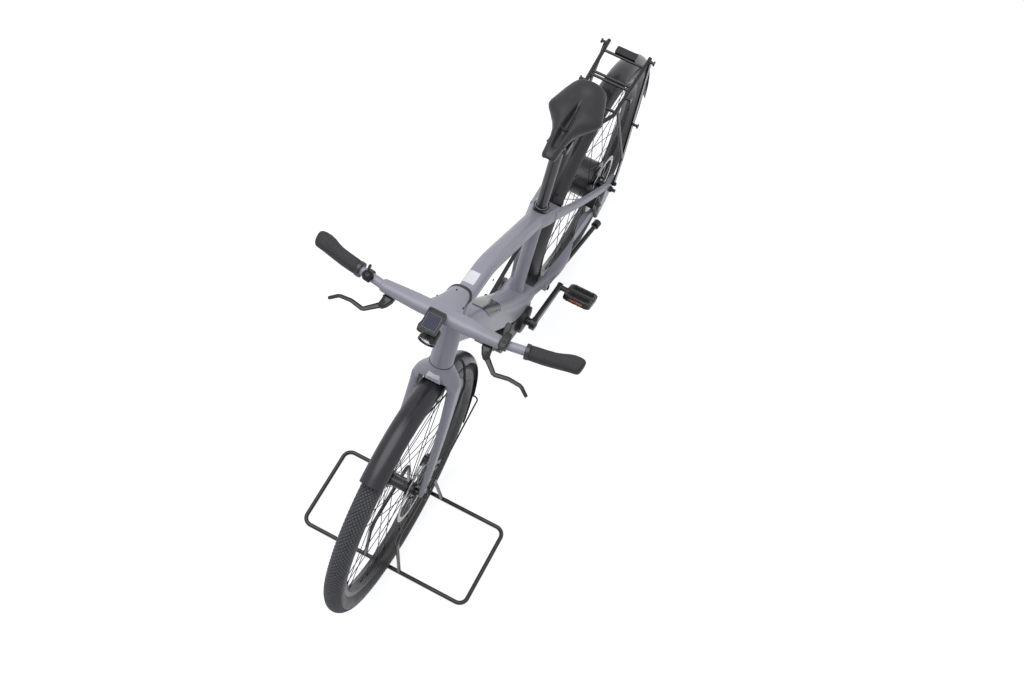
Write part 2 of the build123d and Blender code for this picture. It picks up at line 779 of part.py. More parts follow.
# Rear axle with its nuts and the stub ends outside them
drop_outer = drop_inner_y + drop_thickness
axle = cross_rod(rear_x, wheel_radius, -drop_outer, drop_outer, axle_radius)
for side in (1, -1):
    axle += upright(rear_x, side * (drop_outer + axle_nut_width / 2), wheel_radius,
                    RegularPolygon(axle_nut_radius, 6), axle_nut_width)
    stub = side * (drop_outer + axle_nut_width)
    axle += cross_rod(rear_x, wheel_radius, min(stub, stub + side * axle_stub_length),
                      max(stub, stub + side * axle_stub_length), axle_stub_radius)
nodes["rear_axle"] = axle

# Cover of the charging port, set into the top of the down tube
port_share = (down_bend.X - hub_x + port_cover_back) / (down_bend.X - down_foot.X)
port_up = left.cross(slope)
port_origin = down_bend + (down_foot - down_bend) * port_share
port_origin += port_up * (down_tube_depth / 2 + port_cover_rise - port_cover_depth / 2)
port = extrude(Plane(origin=port_origin, x_dir=slope, z_dir=port_up) * RectangleRounded(
    port_cover_length, port_cover_width, port_cover_corner), amount=port_cover_depth / 2, both=True)
nodes["port_cover"] = (port - frame).solids().sort_by(SortBy.VOLUME)[-1]

# Seatpost, its collar, and the saddle on two rails
post_top = bracket + seat_up * seatpost_length
nodes["seatpost"] = rod(bracket + seat_up * (seat_tube_length - seatpost_insert + running_gap), post_top,
                        seatpost_radius)
collar = rod(collar_foot, bracket + seat_up * seat_tube_length, collar_radius)
collar += Plane(origin=collar_foot + seat_up * collar_height / 2, x_dir=(0, 1, 0), z_dir=seat_up) * (
    Pos(0, collar_radius) * Box(collar_ear_width, collar_ear_length, collar_height))
collar -= rod(collar_foot - seat_up * cut_overrun, collar_top, seat_tube_radius + running_gap)
nodes["seat_collar"] = collar

saddle_nose = hub_x - saddle_nose_back
saddle = loft([
    section(Vector(saddle_nose - saddle_length * share, 0,
                   saddle_height - saddle_depth * (depth / 2 + drop)),
            left, Vector(-1, 0, 0), saddle_width * width, saddle_depth * depth, saddle_corner_share)
    for share, width, depth, drop in saddle_shares])
nodes["saddle"] = saddle
rail_height = saddle_height - rail_drop
front_rail = saddle_nose - saddle_length * rail_front_share
back_rail = saddle_nose - saddle_length * rail_back_share
rails = both_sides(bent_tube((
    (front_rail, rail_spread, saddle_height - saddle_depth / 2),
    (front_rail - rail_rise_run, rail_spread, rail_height),
    (back_rail + rail_rise_run, rail_spread, rail_height),
    (back_rail, rail_spread, saddle_height - saddle_depth / 2)), rail_bend, rail_radius))
clamp = Pos(post_top.X, 0, rail_height) * Box(saddle_clamp_length, saddle_clamp_width, saddle_clamp_depth)
clamp = fillet(clamp.edges().filter_by(Axis.Z), saddle_clamp_corner)
nodes["saddle_clamp"] = (clamp + rails) - nodes["seatpost"] - saddle

# Mudguards: one curved sheet each; the front one ends in a soft flap and has a wire stay
sheet = Circle(guard_section_radius) - Circle(guard_section_radius - guard_sheet)
sheet = Pos(guard_top_radius - guard_section_radius, 0) * sheet
outside = Pos(guard_edge_radius + wheel_radius / 2, 0) * Rectangle(wheel_radius, wheel_radius)
nodes["front_mudguard"] = turned(sheet & outside, hub_x, front_guard_start, front_guard_end - front_guard_start)
nodes["rear_mudguard"] = turned(sheet & outside, rear_x, rear_guard_start, rear_guard_end - rear_guard_start)
flap_outer = guard_section_radius - guard_sheet - soft_gap
flap = Circle(flap_outer) - Circle(flap_outer - flap_sheet)
flap = Pos(guard_top_radius - guard_section_radius, 0) * flap
flap &= Pos(guard_edge_radius + wheel_radius / 2, 0) * Rectangle(wheel_radius, flap_half_width * 2)
nodes["front_flap"] = turned(flap, hub_x, flap_start, flap_end - flap_start)

stay_radius = guard_top_radius + guard_stay_radius + seat_gap
stay_back = hub_x + stay_radius * cos(radians(guard_stay_angle))
stay_low = wheel_radius + stay_radius * sin(radians(guard_stay_angle))
eye_x = hub_x - guard_stay_eye_back
eye_z = wheel_radius + guard_stay_eye_rise
wire = bent_tube((
    (eye_x, guard_stay_eye_y, eye_z),
    (stay_back, guard_stay_side_y, stay_low),
    (stay_back, -guard_stay_radius, stay_low)), guard_stay_bend, guard_stay_radius)
eye = cross_rod(eye_x, eye_z, tip_spread, guard_stay_eye_y + guard_stay_radius, guard_stay_eye_radius)
nodes["front_stay"] = both_sides(wire + eye) - nodes["fork"]

# Cranks: two arms on one axle with the front sprocket, and a pedal at each end
arm_along = pitched(crank_angle)
crank = cross_rod(bracket_x, bracket_height, -crank_root_y, crank_root_y, crank_axle_radius)
ends = {}
for side in (1, -1):
    direction = arm_along * side
    root = bracket + left * side * crank_root_y
    tip = bracket + direction * crank_length + left * side * crank_tip_y
    ends[side] = bracket + direction * crank_length
    half = left * side * crank_thickness / 2
    crank += loft([
        section(root + (tip - root) * share, left, direction, crank_thickness,
                (crank_root_radius + (crank_tip_radius - crank_root_radius) * share) * 2 * depth,
                crank_corner_share)
        for share, depth in crank_arm_shares], ruled=True)
    crank += rod(root - half, root + half + left * side * crank_cap_height, crank_root_radius)
    crank += rod(tip - half, tip + half, crank_tip_radius)
    crank += rod(tip + half, ends[side] + left * side * (pedal_inner_y - running_gap), pedal_collar_radius)
    crank += rod(tip, ends[side] + left * side * (pedal_inner_y + pedal_width), pedal_axle_radius)
teeth_width = (belt_half_width - belt_gap) * 2
wheel = Circle(front_sprocket_radius) - Circle(front_sprocket_radius - front_sprocket_band)
wheel += arms(front_sprocket_arm_count, crank_axle_radius, front_sprocket_radius - front_sprocket_band / 2,
              front_sprocket_arm_width, front_sprocket_arm_sweep)
wheel += Circle(front_sprocket_hub_radius)
crank += upright(bracket_x, -belt_line, bracket_height, wheel, teeth_width)
nodes["crankset"] = crank
for name, side in (("pedal_left", 1), ("pedal_right", -1)):
    window = (pedal_length - pedal_rail * 2 - pedal_barrel_radius * 2) / 2
    cage = RectangleRounded(pedal_length, pedal_width, pedal_corner)
    for way in (1, -1):
        cage -= Pos(way * (pedal_barrel_radius + window / 2), 0) * RectangleRounded(
            window, pedal_width - pedal_rail * 2, pedal_rail / 2)
    pedal = extrude(cage, amount=pedal_thickness / 2, both=True)
    pedal += rod((0, -pedal_width / 2, 0), (0, pedal_width / 2, 0), pedal_barrel_radius)
    pedal -= rod((0, -pedal_width, 0), (0, pedal_width, 0), pedal_axle_radius + running_gap)
    pedal_y = side * (pedal_inner_y + pedal_width / 2)
    nodes[name] = Pos(ends[side].X, pedal_y, ends[side].Z) * Rot(0, pedal_tilt, 0) * pedal


def belt_loop(extra):
    """Face inside a belt that runs round both sprockets at a distance from them."""
    front = Circle(front_sprocket_radius + extra)
    rear = Pos(rear_x - bracket_x, wheel_radius - bracket_height) * Circle(rear_sprocket_radius + extra)
    return make_hull(front.edges() + rear.edges())


nodes["belt"] = upright(bracket_x, -belt_line, bracket_height,
                        belt_loop(belt_gap + belt_thickness) - belt_loop(belt_gap), belt_half_width * 2)

# Rack: a bent rail loop, cross bars, flat legs, a strut each side, strap hooks and a foot on the mudguard
rail_points = [
    (hub_x - rack_rear_back, rack_rear_y), (hub_x - rack_corner_back, rack_corner_y),
    (hub_x - rack_front_back, rack_front_y), (hub_x - rack_front_back, -rack_front_y),
    (hub_x - rack_corner_back, -rack_corner_y), (hub_x - rack_rear_back, -rack_rear_y)]
rack = bent_tube([(x, y, rack_height) for x, y in rail_points], rack_bend, rack_tube_radius)


def rail_y(back):
    """Distance of the rack's rail from the middle plane at a place behind the front hub."""
    share = (back - rack_corner_back) / (rack_rear_back - rack_corner_back)
    return rack_corner_y + (rack_rear_y - rack_corner_y) * share


lamp_bar_back = lamp_block_back - lamp_block_length / 2 - rack_bar_radius - seat_gap
for back in (rack_bar_back - rack_bar_gap / 2, rack_bar_back + rack_bar_gap / 2, rack_tongue_back, lamp_bar_back):
    rack += cross_rod(hub_x - back, rack_height, -rail_y(back), rail_y(back), rack_bar_radius)
leg_top = Vector(hub_x - rack_leg_top_back, rack_leg_top_y, rack_height)
leg_foot = Vector(hub_x - rack_foot_back, rack_leg_foot_y, rack_foot_height)
leg_knee = Vector(hub_x - rack_leg_knee_back, rack_leg_foot_y, rack_leg_knee_height)
leg_path = FilletPolyline(leg_top, leg_knee, leg_foot, radius=rack_bend * 2)
leg = sweep(Plane(origin=leg_path @ 0, x_dir=left, z_dir=leg_path % 0) * Rectangle(
    rack_leg_thickness, rack_leg_width), path=leg_path)
leg += rod((hub_x - rack_strut_top_back, rail_y(rack_strut_top_back), rack_height), leg_knee, rack_strut_radius)
leg += cross_rod(leg_foot.X, leg_foot.Z, drop_outer, rack_leg_foot_y + rack_leg_thickness, rack_foot_bolt_radius)
leg_hook = leg_top + (leg_knee - leg_top) * rack_hook_low_share
for spot in (
        Vector(hub_x - rack_leg_top_back, rail_y(rack_leg_top_back), rack_height),
        Vector(hub_x - rack_hook_mid_back, rail_y(rack_hook_mid_back), rack_height),
        leg_hook):
    end = spot + left * rack_hook_length
    leg += rod(spot, end, rack_hook_radius)
    leg += rod(end, end + left * rack_hook_head_length, rack_hook_head_radius)
rack += both_sides(leg)
tongue = Pos(hub_x - rack_tongue_back, 0, rack_height - rack_tongue_depth / 2) * Box(
    rack_tongue_length, rack_tongue_width, rack_tongue_depth)
rack += tongue - cross_rod(rear_x, wheel_radius, -rack_tongue_width, rack_tongue_width, guard_slot)
nodes["rack"] = rack
lamp_block = Pos(hub_x - lamp_block_back, 0, rack_height) * Box(
    lamp_block_length, lamp_block_width, lamp_block_depth)
nodes["rear_lamp"] = fillet(lamp_block.edges().filter_by(Axis.Z), rack_bar_radius)

# Display and headlamp on the bar
display_plane = Plane(origin=(bar_x + display_ahead, -display_aside, bar_height + display_rise))
display = display_plane * Rot(0, display_tilt, 0) * extrude(
    RectangleRounded(display_length, display_width, display_corner), amount=display_depth / 2, both=True)
display += Pos(bar_x + display_ahead / 2, -display_aside, bar_height + display_rise - display_foot_depth / 2) * Box(
    display_foot_length, display_foot_width, display_foot_depth)
nodes["display"] = display - cockpit
lamp_back = Vector(bar_x + lamp_ahead, -display_aside, bar_height - lamp_drop)
lamp_front = lamp_back + Vector(lamp_length, 0, 0)
headlamp = rod(lamp_back, lamp_front, lamp_radius)
headlamp += rod(lamp_front - Vector(lamp_hood_length, 0, 0), lamp_front, lamp_hood_radius)
headlamp += rod(lamp_back + Vector(lamp_arm_radius, 0, 0),
                lamp_back + Vector(-lamp_arm_back, 0, lamp_arm_rise), lamp_arm_radius)
nodes["headlamp"] = headlamp - cockpit - nodes["display"]

# Grips with a palm wing, and the brake levers under the thick bar
for name, side in (("left", 1), ("right", -1)):
    grip = rod(bar_point(grip_inner_y, side), bar_point(grip_outer_y, side), grip_radius)
    grip += rod(bar_point(grip_inner_y, side), bar_point(grip_inner_y + grip_ring_length, side),
                grip_ring_radius)
    grip += loft([
        section(bar_point(grip_inner_y + (grip_outer_y - grip_inner_y) * share, side)
                - Vector(wing_setback * setback, 0, 0),
                Vector(1, 0, 0), left * side, wing_width * width, wing_depth * depth, wing_corner_share)
        for share, setback, width, depth in wing_shares])
    nodes["grip_" + name] = grip - rod(
        bar_point(bar_step_y, side), bar_point(bar_tube_end_y + soft_gap, side), bar_tube_radius + soft_gap)
    housing = Pos(bar_x + lever_body_ahead, side * lever_body_y, bar_height - lever_body_drop) * Box(
        lever_body_length, lever_body_width, lever_body_depth)
    housing = fillet(housing.edges().filter_by(Axis.Z), lever_body_corner)
    tip = Vector(bar_x + lever_end_ahead, side * lever_end_y, bar_height - lever_end_drop)
    housing += bent_tube((
        (bar_x + lever_root_ahead, side * lever_body_y, bar_height - lever_root_drop),
        (bar_x + lever_knee_ahead, side * lever_knee_y, bar_height - lever_knee_drop),
        (bar_x + lever_knee_ahead, side * lever_tip_y, bar_height - lever_tip_drop),
        tip), lever_bend, lever_radius)
    housing += Pos(tip.X, tip.Y, tip.Z) * Sphere(lever_ball_radius)
    nodes["brake_lever_" + name] = housing - cockpit
clamp_cut = {side: rod(bar_point(bar_step_y, side), bar_point(grip_inner_y, side), bar_tube_radius + running_gap)
             for side in (1, -1)}
bell_seat = bar_point(bell_y, -1)
bell = rod(bar_point(bell_y - clamp_width / 2, -1), bar_point(bell_y + clamp_width / 2, -1), clamp_radius)
bell_foot = bell_seat + Vector(bell_ahead, 0, clamp_radius - bell_lap)
bell += rod(bell_foot, bell_foot + Vector(0, 0, bell_height), bell_radius, bell_radius * bell_top_share)
nodes["bell"] = bell - clamp_cut[-1]
remote = rod(bar_point(remote_y - clamp_width / 2), bar_point(remote_y + clamp_width / 2), clamp_radius)
pad = Box(remote_length, remote_width, remote_depth)
pad = fillet(pad.edges().filter_by(Axis.Z), remote_corner)
remote += Pos(bar_x, remote_y, bar_height + remote_rise) * pad
nodes["remote"] = remote - clamp_cut[1]

# Calipers: a block astride the disc's edge, slotted for the disc, with posts to the blade or the stay
for name, x, disc_y, ahead, rise, carrier, posts in (
        ("front", hub_x, front_disc_y, front_caliper_ahead, front_caliper_rise, "fork",
         ((1, 0, 1, 1), (1, 0, 1, -1))),
        ("rear", rear_x, rear_disc_y, rear_caliper_ahead, rear_caliper_rise, "frame",
         ((0, 0.3, -1.2, 1), (0, 0.3, -1.2, -1)))):
    place = degrees(atan2(rise, ahead))
    block = Box(caliper_length, caliper_width, caliper_height)
    block = fillet(block.edges().filter_by(Axis.Y), caliper_corner)
    centre = Vector(x + ahead, disc_y + caliper_outset, wheel_radius + rise)
    block = Pos(centre.X, centre.Y, centre.Z) * Rot(0, 90 - place, 0) * block
    along = pitched(place - 90)
    for way_x, way_y, way_z, end in posts:
        start = centre + along * end * caliper_post_spread + left * (caliper_width / 2 - caliper_post_radius)
        block += rod(start, start + Vector(way_x, way_y, way_z) * caliper_post_reach, caliper_post_radius)
    block -= cross_rod(x, wheel_radius, disc_y - disc_half_thickness - moving_gap,
                       disc_y + disc_half_thickness + moving_gap, disc_radius + moving_gap)
    block = block - nodes[carrier]
    nodes[name + "_caliper"] = block.solids().sort_by(SortBy.VOLUME)[-1]

# Front brake hose: out of the crown's back, round a loop, down the left blade and into the caliper
hose_start = steer_point(hose_root_height, -crown_chord * hose_root_share - seat_gap, hose_root_y)
caliper_top = Vector(hub_x + front_caliper_ahead, front_disc_y + caliper_outset + hose_caliper_out,
                     wheel_radius + front_caliper_rise)
caliper_away = pitched(degrees(atan2(front_caliper_rise, front_caliper_ahead)))
hose_end = caliper_top + caliper_away * (caliper_height / 2 + seat_gap)
nodes["brake_hose"] = bent_tube((
    hose_start,
    hose_start - steer_ahead * hose_loop_back + left * hose_loop_out,
    steer_point(hose_drop_height, -hose_drop_back, hose_blade_y),
    steer_point(hose_turn_height, -hose_turn_back, hose_blade_y),
    hose_end + caliper_away * hose_caliper_run,
    hose_end), hose_bend, hose_radius)

# Kickstand, folded back along the left stay
kickstand = rod(pivot, foot, kick_radius)
kickstand += rod(foot, foot + folded * kick_foot_length, kick_foot_radius)
kickstand += rod(pivot - swing * kick_hub_half_length, pivot + swing * kick_hub_half_length, kick_hub_radius)
nodes["kickstand"] = kickstand

# Floor stand that holds the front wheel: a loop on the floor and a hoop each side of the tyre
floor = stand_tube_radius
half_loop = bent_tube((
    (hub_x + stand_front, 0, floor), (hub_x + stand_front, stand_half_span, floor),
    (hub_x - stand_back, stand_half_span, floor), (hub_x - stand_back, 0, floor)), stand_bend, stand_tube_radius)
hoop = bent_tube((
    (hub_x - stand_back, hoop_foot_y, floor), (hub_x - hoop_back, hoop_y, hoop_height),
    (hub_x + hoop_front, hoop_y, hoop_height), (hub_x + stand_front, hoop_foot_y, floor)),
    hoop_bend, hoop_radius)
nodes["wheel_stand"] = both_sides(half_loop + hoop)

os.makedirs("parts", exist_ok=True)
for name, shape in nodes.items():
    export_step(shape, "parts/" + name + ".step")
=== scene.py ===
from math import copysign, cos, exp, pi, radians, sin
import bmesh
import bpy
from mathutils import Matrix, Vector


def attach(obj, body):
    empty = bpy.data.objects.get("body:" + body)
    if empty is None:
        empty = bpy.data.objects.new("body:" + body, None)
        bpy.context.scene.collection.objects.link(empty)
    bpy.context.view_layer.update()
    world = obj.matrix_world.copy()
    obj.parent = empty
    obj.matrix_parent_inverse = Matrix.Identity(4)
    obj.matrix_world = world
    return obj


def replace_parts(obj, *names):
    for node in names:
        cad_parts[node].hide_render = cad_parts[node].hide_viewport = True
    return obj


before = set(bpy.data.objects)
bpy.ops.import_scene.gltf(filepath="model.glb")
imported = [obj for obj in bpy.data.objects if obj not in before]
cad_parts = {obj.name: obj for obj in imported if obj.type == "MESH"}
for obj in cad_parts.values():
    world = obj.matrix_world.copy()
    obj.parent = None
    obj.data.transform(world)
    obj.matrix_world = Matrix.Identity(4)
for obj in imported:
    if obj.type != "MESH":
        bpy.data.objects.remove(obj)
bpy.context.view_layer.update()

# Studio: a seamless pale floor, one wide soft light overhead and an even fill from all round.
# The floor and the surround read as white to the eye and in reflections; the floor keeps the shadow.


def linear(text):
    """sRGB hex colour as the linear colour that a shader takes."""
    channels = [int(text[i:i + 2], 16) / 255 for i in (0, 2, 4)]
    return [c / 12.92 if c <= 0.04045 else ((c + 0.055) / 1.055) ** 2.4 for c in channels] + [1.0]


def add(tree, kind, settings={}, values={}, links={}):
    """Add a shader node with its settings, its socket values and the links into its sockets."""
    node = tree.nodes.new(kind)
    for name, value in settings.items():
        setattr(node, name, value)
    for socket, value in values.items():
        node.inputs[socket].default_value = value
    for socket, (source, output) in links.items():
        tree.links.new(source.outputs[output], node.inputs[socket])
    return node


lens = bpy.data.cameras.new("camera")
lens.lens = 48.8
lens.sensor_width = 36.0
lens.clip_end = 100.0
camera = bpy.data.objects.new("camera", lens)
viewpoint = Vector((1.6594, 0.631, 3.7655))
right, up = Vector((-0.4584, 0.8861, 0.0687)), Vector((-0.7811, -0.4386, 0.4444))
turn = Matrix((right, up, right.cross(up))).transposed().to_4x4()
camera.matrix_world = Matrix.Translation(viewpoint) @ turn
bpy.context.scene.collection.objects.link(camera)
bpy.context.scene.camera = camera
bpy.context.scene.view_settings.view_transform = "Standard"

softbox = bpy.data.lights.new("softbox", "AREA")
softbox.shape = "DISK"
softbox.size = 4.5
softbox.energy = 125.0
softbox.color = linear("FFFFFF")[:3]
softbox_holder = bpy.data.objects.new("softbox", softbox)
softbox_holder.matrix_world = Matrix.Translation((0.3, -0.9, 4.6)) @ Matrix.Rotation(radians(-11), 4, "X")
bpy.context.scene.collection.objects.link(softbox_holder)


def seen_white(tree):
    """1 for rays from the camera or sent on by metal and glass, and 0 for rays that only light a surface."""
    ray = add(tree, "ShaderNodeLightPath")
    seen = add(tree, "ShaderNodeMath", {"operation": "MAXIMUM"}, {},
               {0: (ray, "Is Camera Ray"), 1: (ray, "Is Glossy Ray")})
    return add(tree, "ShaderNodeMath", {"operation": "MAXIMUM"}, {},
               {0: (seen, 0), 1: (ray, "Is Transmission Ray")})


world = bpy.data.worlds.new("surround")
bpy.context.scene.world = world
world.use_nodes = True
world.node_tree.nodes.clear()
seen = seen_white(world.node_tree)
fill = add(world.node_tree, "ShaderNodeBackground", {}, {"Color": linear("EEF1FF"), "Strength": 0.36})
white = add(world.node_tree, "ShaderNodeBackground", {}, {"Color": (1, 1, 1, 1), "Strength": 1.0})
surround = add(world.node_tree, "ShaderNodeMixShader", {}, {}, {0: (seen, 0), 1: (fill, 0), 2: (white, 0)})
add(world.node_tree, "ShaderNodeOutputWorld", {}, {}, {"Surface": (surround, 0)})

floor_paint = bpy.data.materials.new("studio_floor")
floor_paint.use_nodes = True
tree = floor_paint.node_tree
tree.nodes.clear()
seen = seen_white(tree)
shadowed = add(tree, "ShaderNodeBsdfDiffuse", {}, {"Color": linear("9C9CA0")})
glow = add(tree, "ShaderNodeEmission", {}, {"Color": (1, 1, 1, 1), "Strength": 0.86})
pale = add(tree, "ShaderNodeAddShader", {}, {}, {0: (shadowed, 0), 1: (glow, 0)})
plain = add(tree, "ShaderNodeBsdfDiffuse", {}, {"Color": linear("E6E6E6")})
mixed = add(tree, "ShaderNodeMixShader", {}, {}, {0: (seen, 0), 1: (plain, 0), 2: (pale, 0)})
add(tree, "ShaderNodeOutputMaterial", {}, {}, {"Surface": (mixed, 0)})
bm = bmesh.new()
bmesh.ops.create_grid(bm, x_segments=2, y_segments=2, size=20.0)
floor_mesh = bpy.data.meshes.new("floor")
bm.to_mesh(floor_mesh)
bm.free()
floor_mesh.materials.append(floor_paint)
floor = bpy.data.objects.new("floor", floor_mesh)
bpy.context.scene.collection.objects.link(floor)

# Frame: hydroformed aluminium tubes welded and filled to one smooth shell, then powder coated in a
# satin purple grey, with a blank white label and small screws. The coat shows a fine orange peel and
# soft highlights along the tubes.


def surface(name, tones, tone_mm, gloss, grain_mm, relief_mm, constants={}):
    """Start a material: two close tones, a gloss that varies with them, and a grain of a real size."""
    material = bpy.data.materials.new(name)
    material.use_nodes = True
    tree = material.node_tree
    shader = tree.nodes["Principled BSDF"]
    for socket, value in constants.items():
        shader.inputs[socket].default_value = value
    place = add(tree, "ShaderNodeTexCoord")
    patches = add(tree, "ShaderNodeTexNoise", {}, {"Scale": 1000 / tone_mm, "Detail": 3.0},
                  {"Vector": (place, "Object")})
    spread = add(tree, "ShaderNodeMapRange", {}, {"From Min": 0.3, "From Max": 0.7},
                 {"Value": (patches, "Fac")})
    colour = add(tree, "ShaderNodeMix", {"data_type": "RGBA"}, {6: linear(tones[0]), 7: linear(tones[1])},
                 {0: (spread, 0)})
    roughness = add(tree, "ShaderNodeMapRange", {}, {"To Min": gloss[0], "To Max": gloss[1]},
                    {"Value": (spread, 0)})
    grain = add(tree, "ShaderNodeTexNoise", {}, {"Scale": 1000 / grain_mm, "Detail": 2.0},
                {"Vector": (place, "Object")})
    relief = add(tree, "ShaderNodeBump", {}, {"Distance": relief_mm / 1000}, {"Height": (grain, "Fac")})
    tree.links.new(colour.outputs[2], shader.inputs["Base Color"])
    tree.links.new(roughness.outputs[0], shader.inputs["Roughness"])
    tree.links.new(relief.outputs[0], shader.inputs["Normal"])
    return material


def coat(material, *nodes):
    """Give CAD nodes a material."""
    for name in nodes:
        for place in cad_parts[name].material_slots:
            place.material = material


def made(name, bm, materials, body, crease=35):
    """Finish a piece: smooth shading with sharp creases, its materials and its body."""
    mesh = bpy.data.meshes.new(name)
    bm.to_mesh(mesh)
    bm.free()
    for material in materials:
        mesh.materials.append(material)
    mesh.shade_smooth()
    mesh.set_sharp_from_angle(angle=radians(crease))
    piece = bpy.data.objects.new(name, mesh)
    bpy.context.scene.collection.objects.link(piece)
    bpy.context.view_layer.update()
    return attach(piece, body)


def joined(bm, detail, place=Matrix.Identity(4), finish=0):
    """Clean a detail, give it its place and its finish, and add it to a piece."""
    bmesh.ops.remove_doubles(detail, verts=detail.verts, dist=1e-6)
    bmesh.ops.recalc_face_normals(detail, faces=detail.faces)
    detail.transform(place)
    if place.determinant() < 0:
        bmesh.ops.reverse_faces(detail, faces=detail.faces)
    for face in detail.faces:
        face.material_index = finish
    mesh = bpy.data.meshes.new("detail")
    detail.to_mesh(mesh)
    detail.free()
    bm.from_mesh(mesh)
    bpy.data.meshes.remove(mesh)


def lathe(outline, turns=32, closed=False):
    """Detail turned about Z from an outline of (radius, height)."""
    detail = bmesh.new()
    verts = [detail.verts.new((radius, 0, height)) for radius, height in outline]
    pairs = list(zip(verts, verts[1:])) + ([(verts[-1], verts[0])] if closed else [])
    edges = [detail.edges.new(pair) for pair in pairs]
    bmesh.ops.spin(detail, geom=verts + edges, cent=(0, 0, 0), axis=(0, 0, 1), dvec=(0, 0, 0),
                   angle=2 * pi, steps=turns, use_merge=True)
    return detail


def aimed(origin, direction):
    """Place with its Z axis along a direction."""
    return Matrix.Translation(origin) @ Vector(direction).to_track_quat("Z", "Y").to_matrix().to_4x4()


def found_on(piece, start, towards):
    """Place where a line meets a piece, with Z out of its surface, or at the start where it meets none."""
    hit, spot, normal, _ = piece.ray_cast(Vector(start), Vector(towards).normalized())
    return aimed(spot, normal) if hit else aimed(Vector(start), -Vector(towards))


def bolt(radius, height):
    """Button-head bolt with a round socket, its seat at the origin."""
    detail = bmesh.new()
    bmesh.ops.create_cone(detail, cap_ends=True, segments=24, radius1=radius, radius2=radius * 0.8,
                          depth=height)
    bmesh.ops.translate(detail, verts=detail.verts, vec=(0, 0, height / 2))
    rim = [e for e in detail.edges if all(v.co.z > height * 0.9 for v in e.verts)]
    bmesh.ops.bevel(detail, geom=rim, offset=radius * 0.16, segments=2, profile=0.5, affect="EDGES",
                    material=-1)
    top = max(detail.faces, key=lambda face: face.calc_center_median().z)
    bmesh.ops.inset_region(detail, faces=[top], thickness=radius * 0.22)
    socket = max(detail.faces, key=lambda face: (
        face.normal.z > 0.9, -face.calc_center_median().xy.length, face.calc_area()))
    bmesh.ops.translate(detail, verts=socket.verts, vec=(0, 0, -height * 0.55))
    return detail


def skin(stations, up=(0, 0, 1), roundness=0.6, segments=16):
    """Bar of changing section through stations of (middle, width, depth, facing), closed at both ends."""
    detail = bmesh.new()
    middles = [Vector(station[0]) for station in stations]
    rings, caps = [], []
    for i, (_, width, depth, *facing) in enumerate(stations):
        ahead = middles[min(i + 1, len(middles) - 1)] - middles[max(i - 1, 0)]
        along = Vector(facing[0]) if facing else ahead.normalized()
        side = Vector(up).cross(along).normalized()
        rise = along.cross(side)
        ring = bmesh.ops.create_circle(detail, segments=segments, radius=1.0)["verts"]
        for v in ring:
            x = copysign(abs(v.co.x) ** roundness, v.co.x) * width / 2
            y = copysign(abs(v.co.y) ** roundness, v.co.y) * depth / 2
            v.co = middles[i] + side * x + rise * y
        rings.append({e for v in ring for e in v.link_edges})
        caps.append(ring)
    for one, two in zip(rings, rings[1:]):
        bmesh.ops.bridge_loops(detail, edges=list(one | two))
    for ring in (caps[0], caps[-1]):
        detail.faces.new(ring)
    return detail


def blended(source, voxel, rounds):
    """One even, rounded skin over a detail's overlapping forms."""
    bmesh.ops.recalc_face_normals(source, faces=source.faces)
    mesh = bpy.data.meshes.new("blend")
    source.to_mesh(mesh)
    source.free()
    piece = bpy.data.objects.new("blend", mesh)
    bpy.context.scene.collection.objects.link(piece)
    remesh = piece.modifiers.new("even", "REMESH")
    remesh.mode = "VOXEL"
    remesh.voxel_size = voxel
    smooth = piece.modifiers.new("rounded", "SMOOTH")
    smooth.iterations = rounds
    bpy.context.view_layer.update()
    finished = bpy.data.meshes.new_from_object(piece.evaluated_get(bpy.context.evaluated_depsgraph_get()))
    detail = bmesh.new()
    detail.from_mesh(finished)
    bpy.data.objects.remove(piece)
    bpy.data.meshes.remove(mesh)
    bpy.data.meshes.remove(finished)
    return detail


satin_paint = surface("satin_powder_coat", ("96959F", "9E9DA9"), 90, (0.36, 0.44), 1.6, 0.02,
                      {"Coat Weight": 0.12, "Coat Roughness": 0.3})
coat(satin_paint, "frame")
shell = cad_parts["frame"]

screw_black = surface("black_oxide_screw", ("1A1A1C", "26262A"), 4, (0.3, 0.42), 0.4, 0.01, {"Metallic": 0.7})
label_paper = surface("white_polyester_label", ("F0F0F2", "E6E7EC"), 12, (0.4, 0.5), 0.8, 0.01)
label_length, label_width, label_wall = 0.040, 0.029, 0.0004
over_label = Vector((0.208, -0.006, 1.0))
bm = bmesh.new()
bmesh.ops.create_grid(bm, x_segments=12, y_segments=10, size=0.5)
bmesh.ops.scale(bm, verts=bm.verts, vec=(label_length, label_width, 1))
for v in bm.verts:
    spot = found_on(shell, v.co + over_label, (0, 0, -1))
    v.co = (spot @ Matrix.Translation((0, 0, label_wall))).translation
made("top_tube_label", bm, [label_paper], "frame", 60)

bm = bmesh.new()
for side in (1, -1):
    joined(bm, bolt(0.0036, 0.0018), found_on(shell, (0.250, side * 0.10, 0.80), (0, -side, 0)))
made("frame_screws", bm, [screw_black], "frame")

# Motor: a die-cast block in satin black, held in the frame's yoke round the crank axle, with a turned
# blank cap each side. The casting shows a broad, dull highlight.
cast_black = surface("black_die_casting", ("141418", "1B1B20"), 30, (0.38, 0.5), 1.2, 0.05)
coat(cast_black, "motor")
crank_x, crank_height = -0.064, 0.300
bm = bmesh.new()
for y, way, radius in ((0.052, 1, 0.038), (-0.0435, -1, 0.036)):
    cap = lathe(((0.0145, 0.0), (0.0145, 0.0018), (0.018, 0.003), (radius - 0.008, 0.003),
                 (radius - 0.006, 0.0018), (radius - 0.001, 0.0016), (radius, 0.0)), 64)
    joined(bm, cap, aimed((crank_x, y, crank_height), (0, way, 0)))
made("motor_caps", bm, [cast_black], "frame")

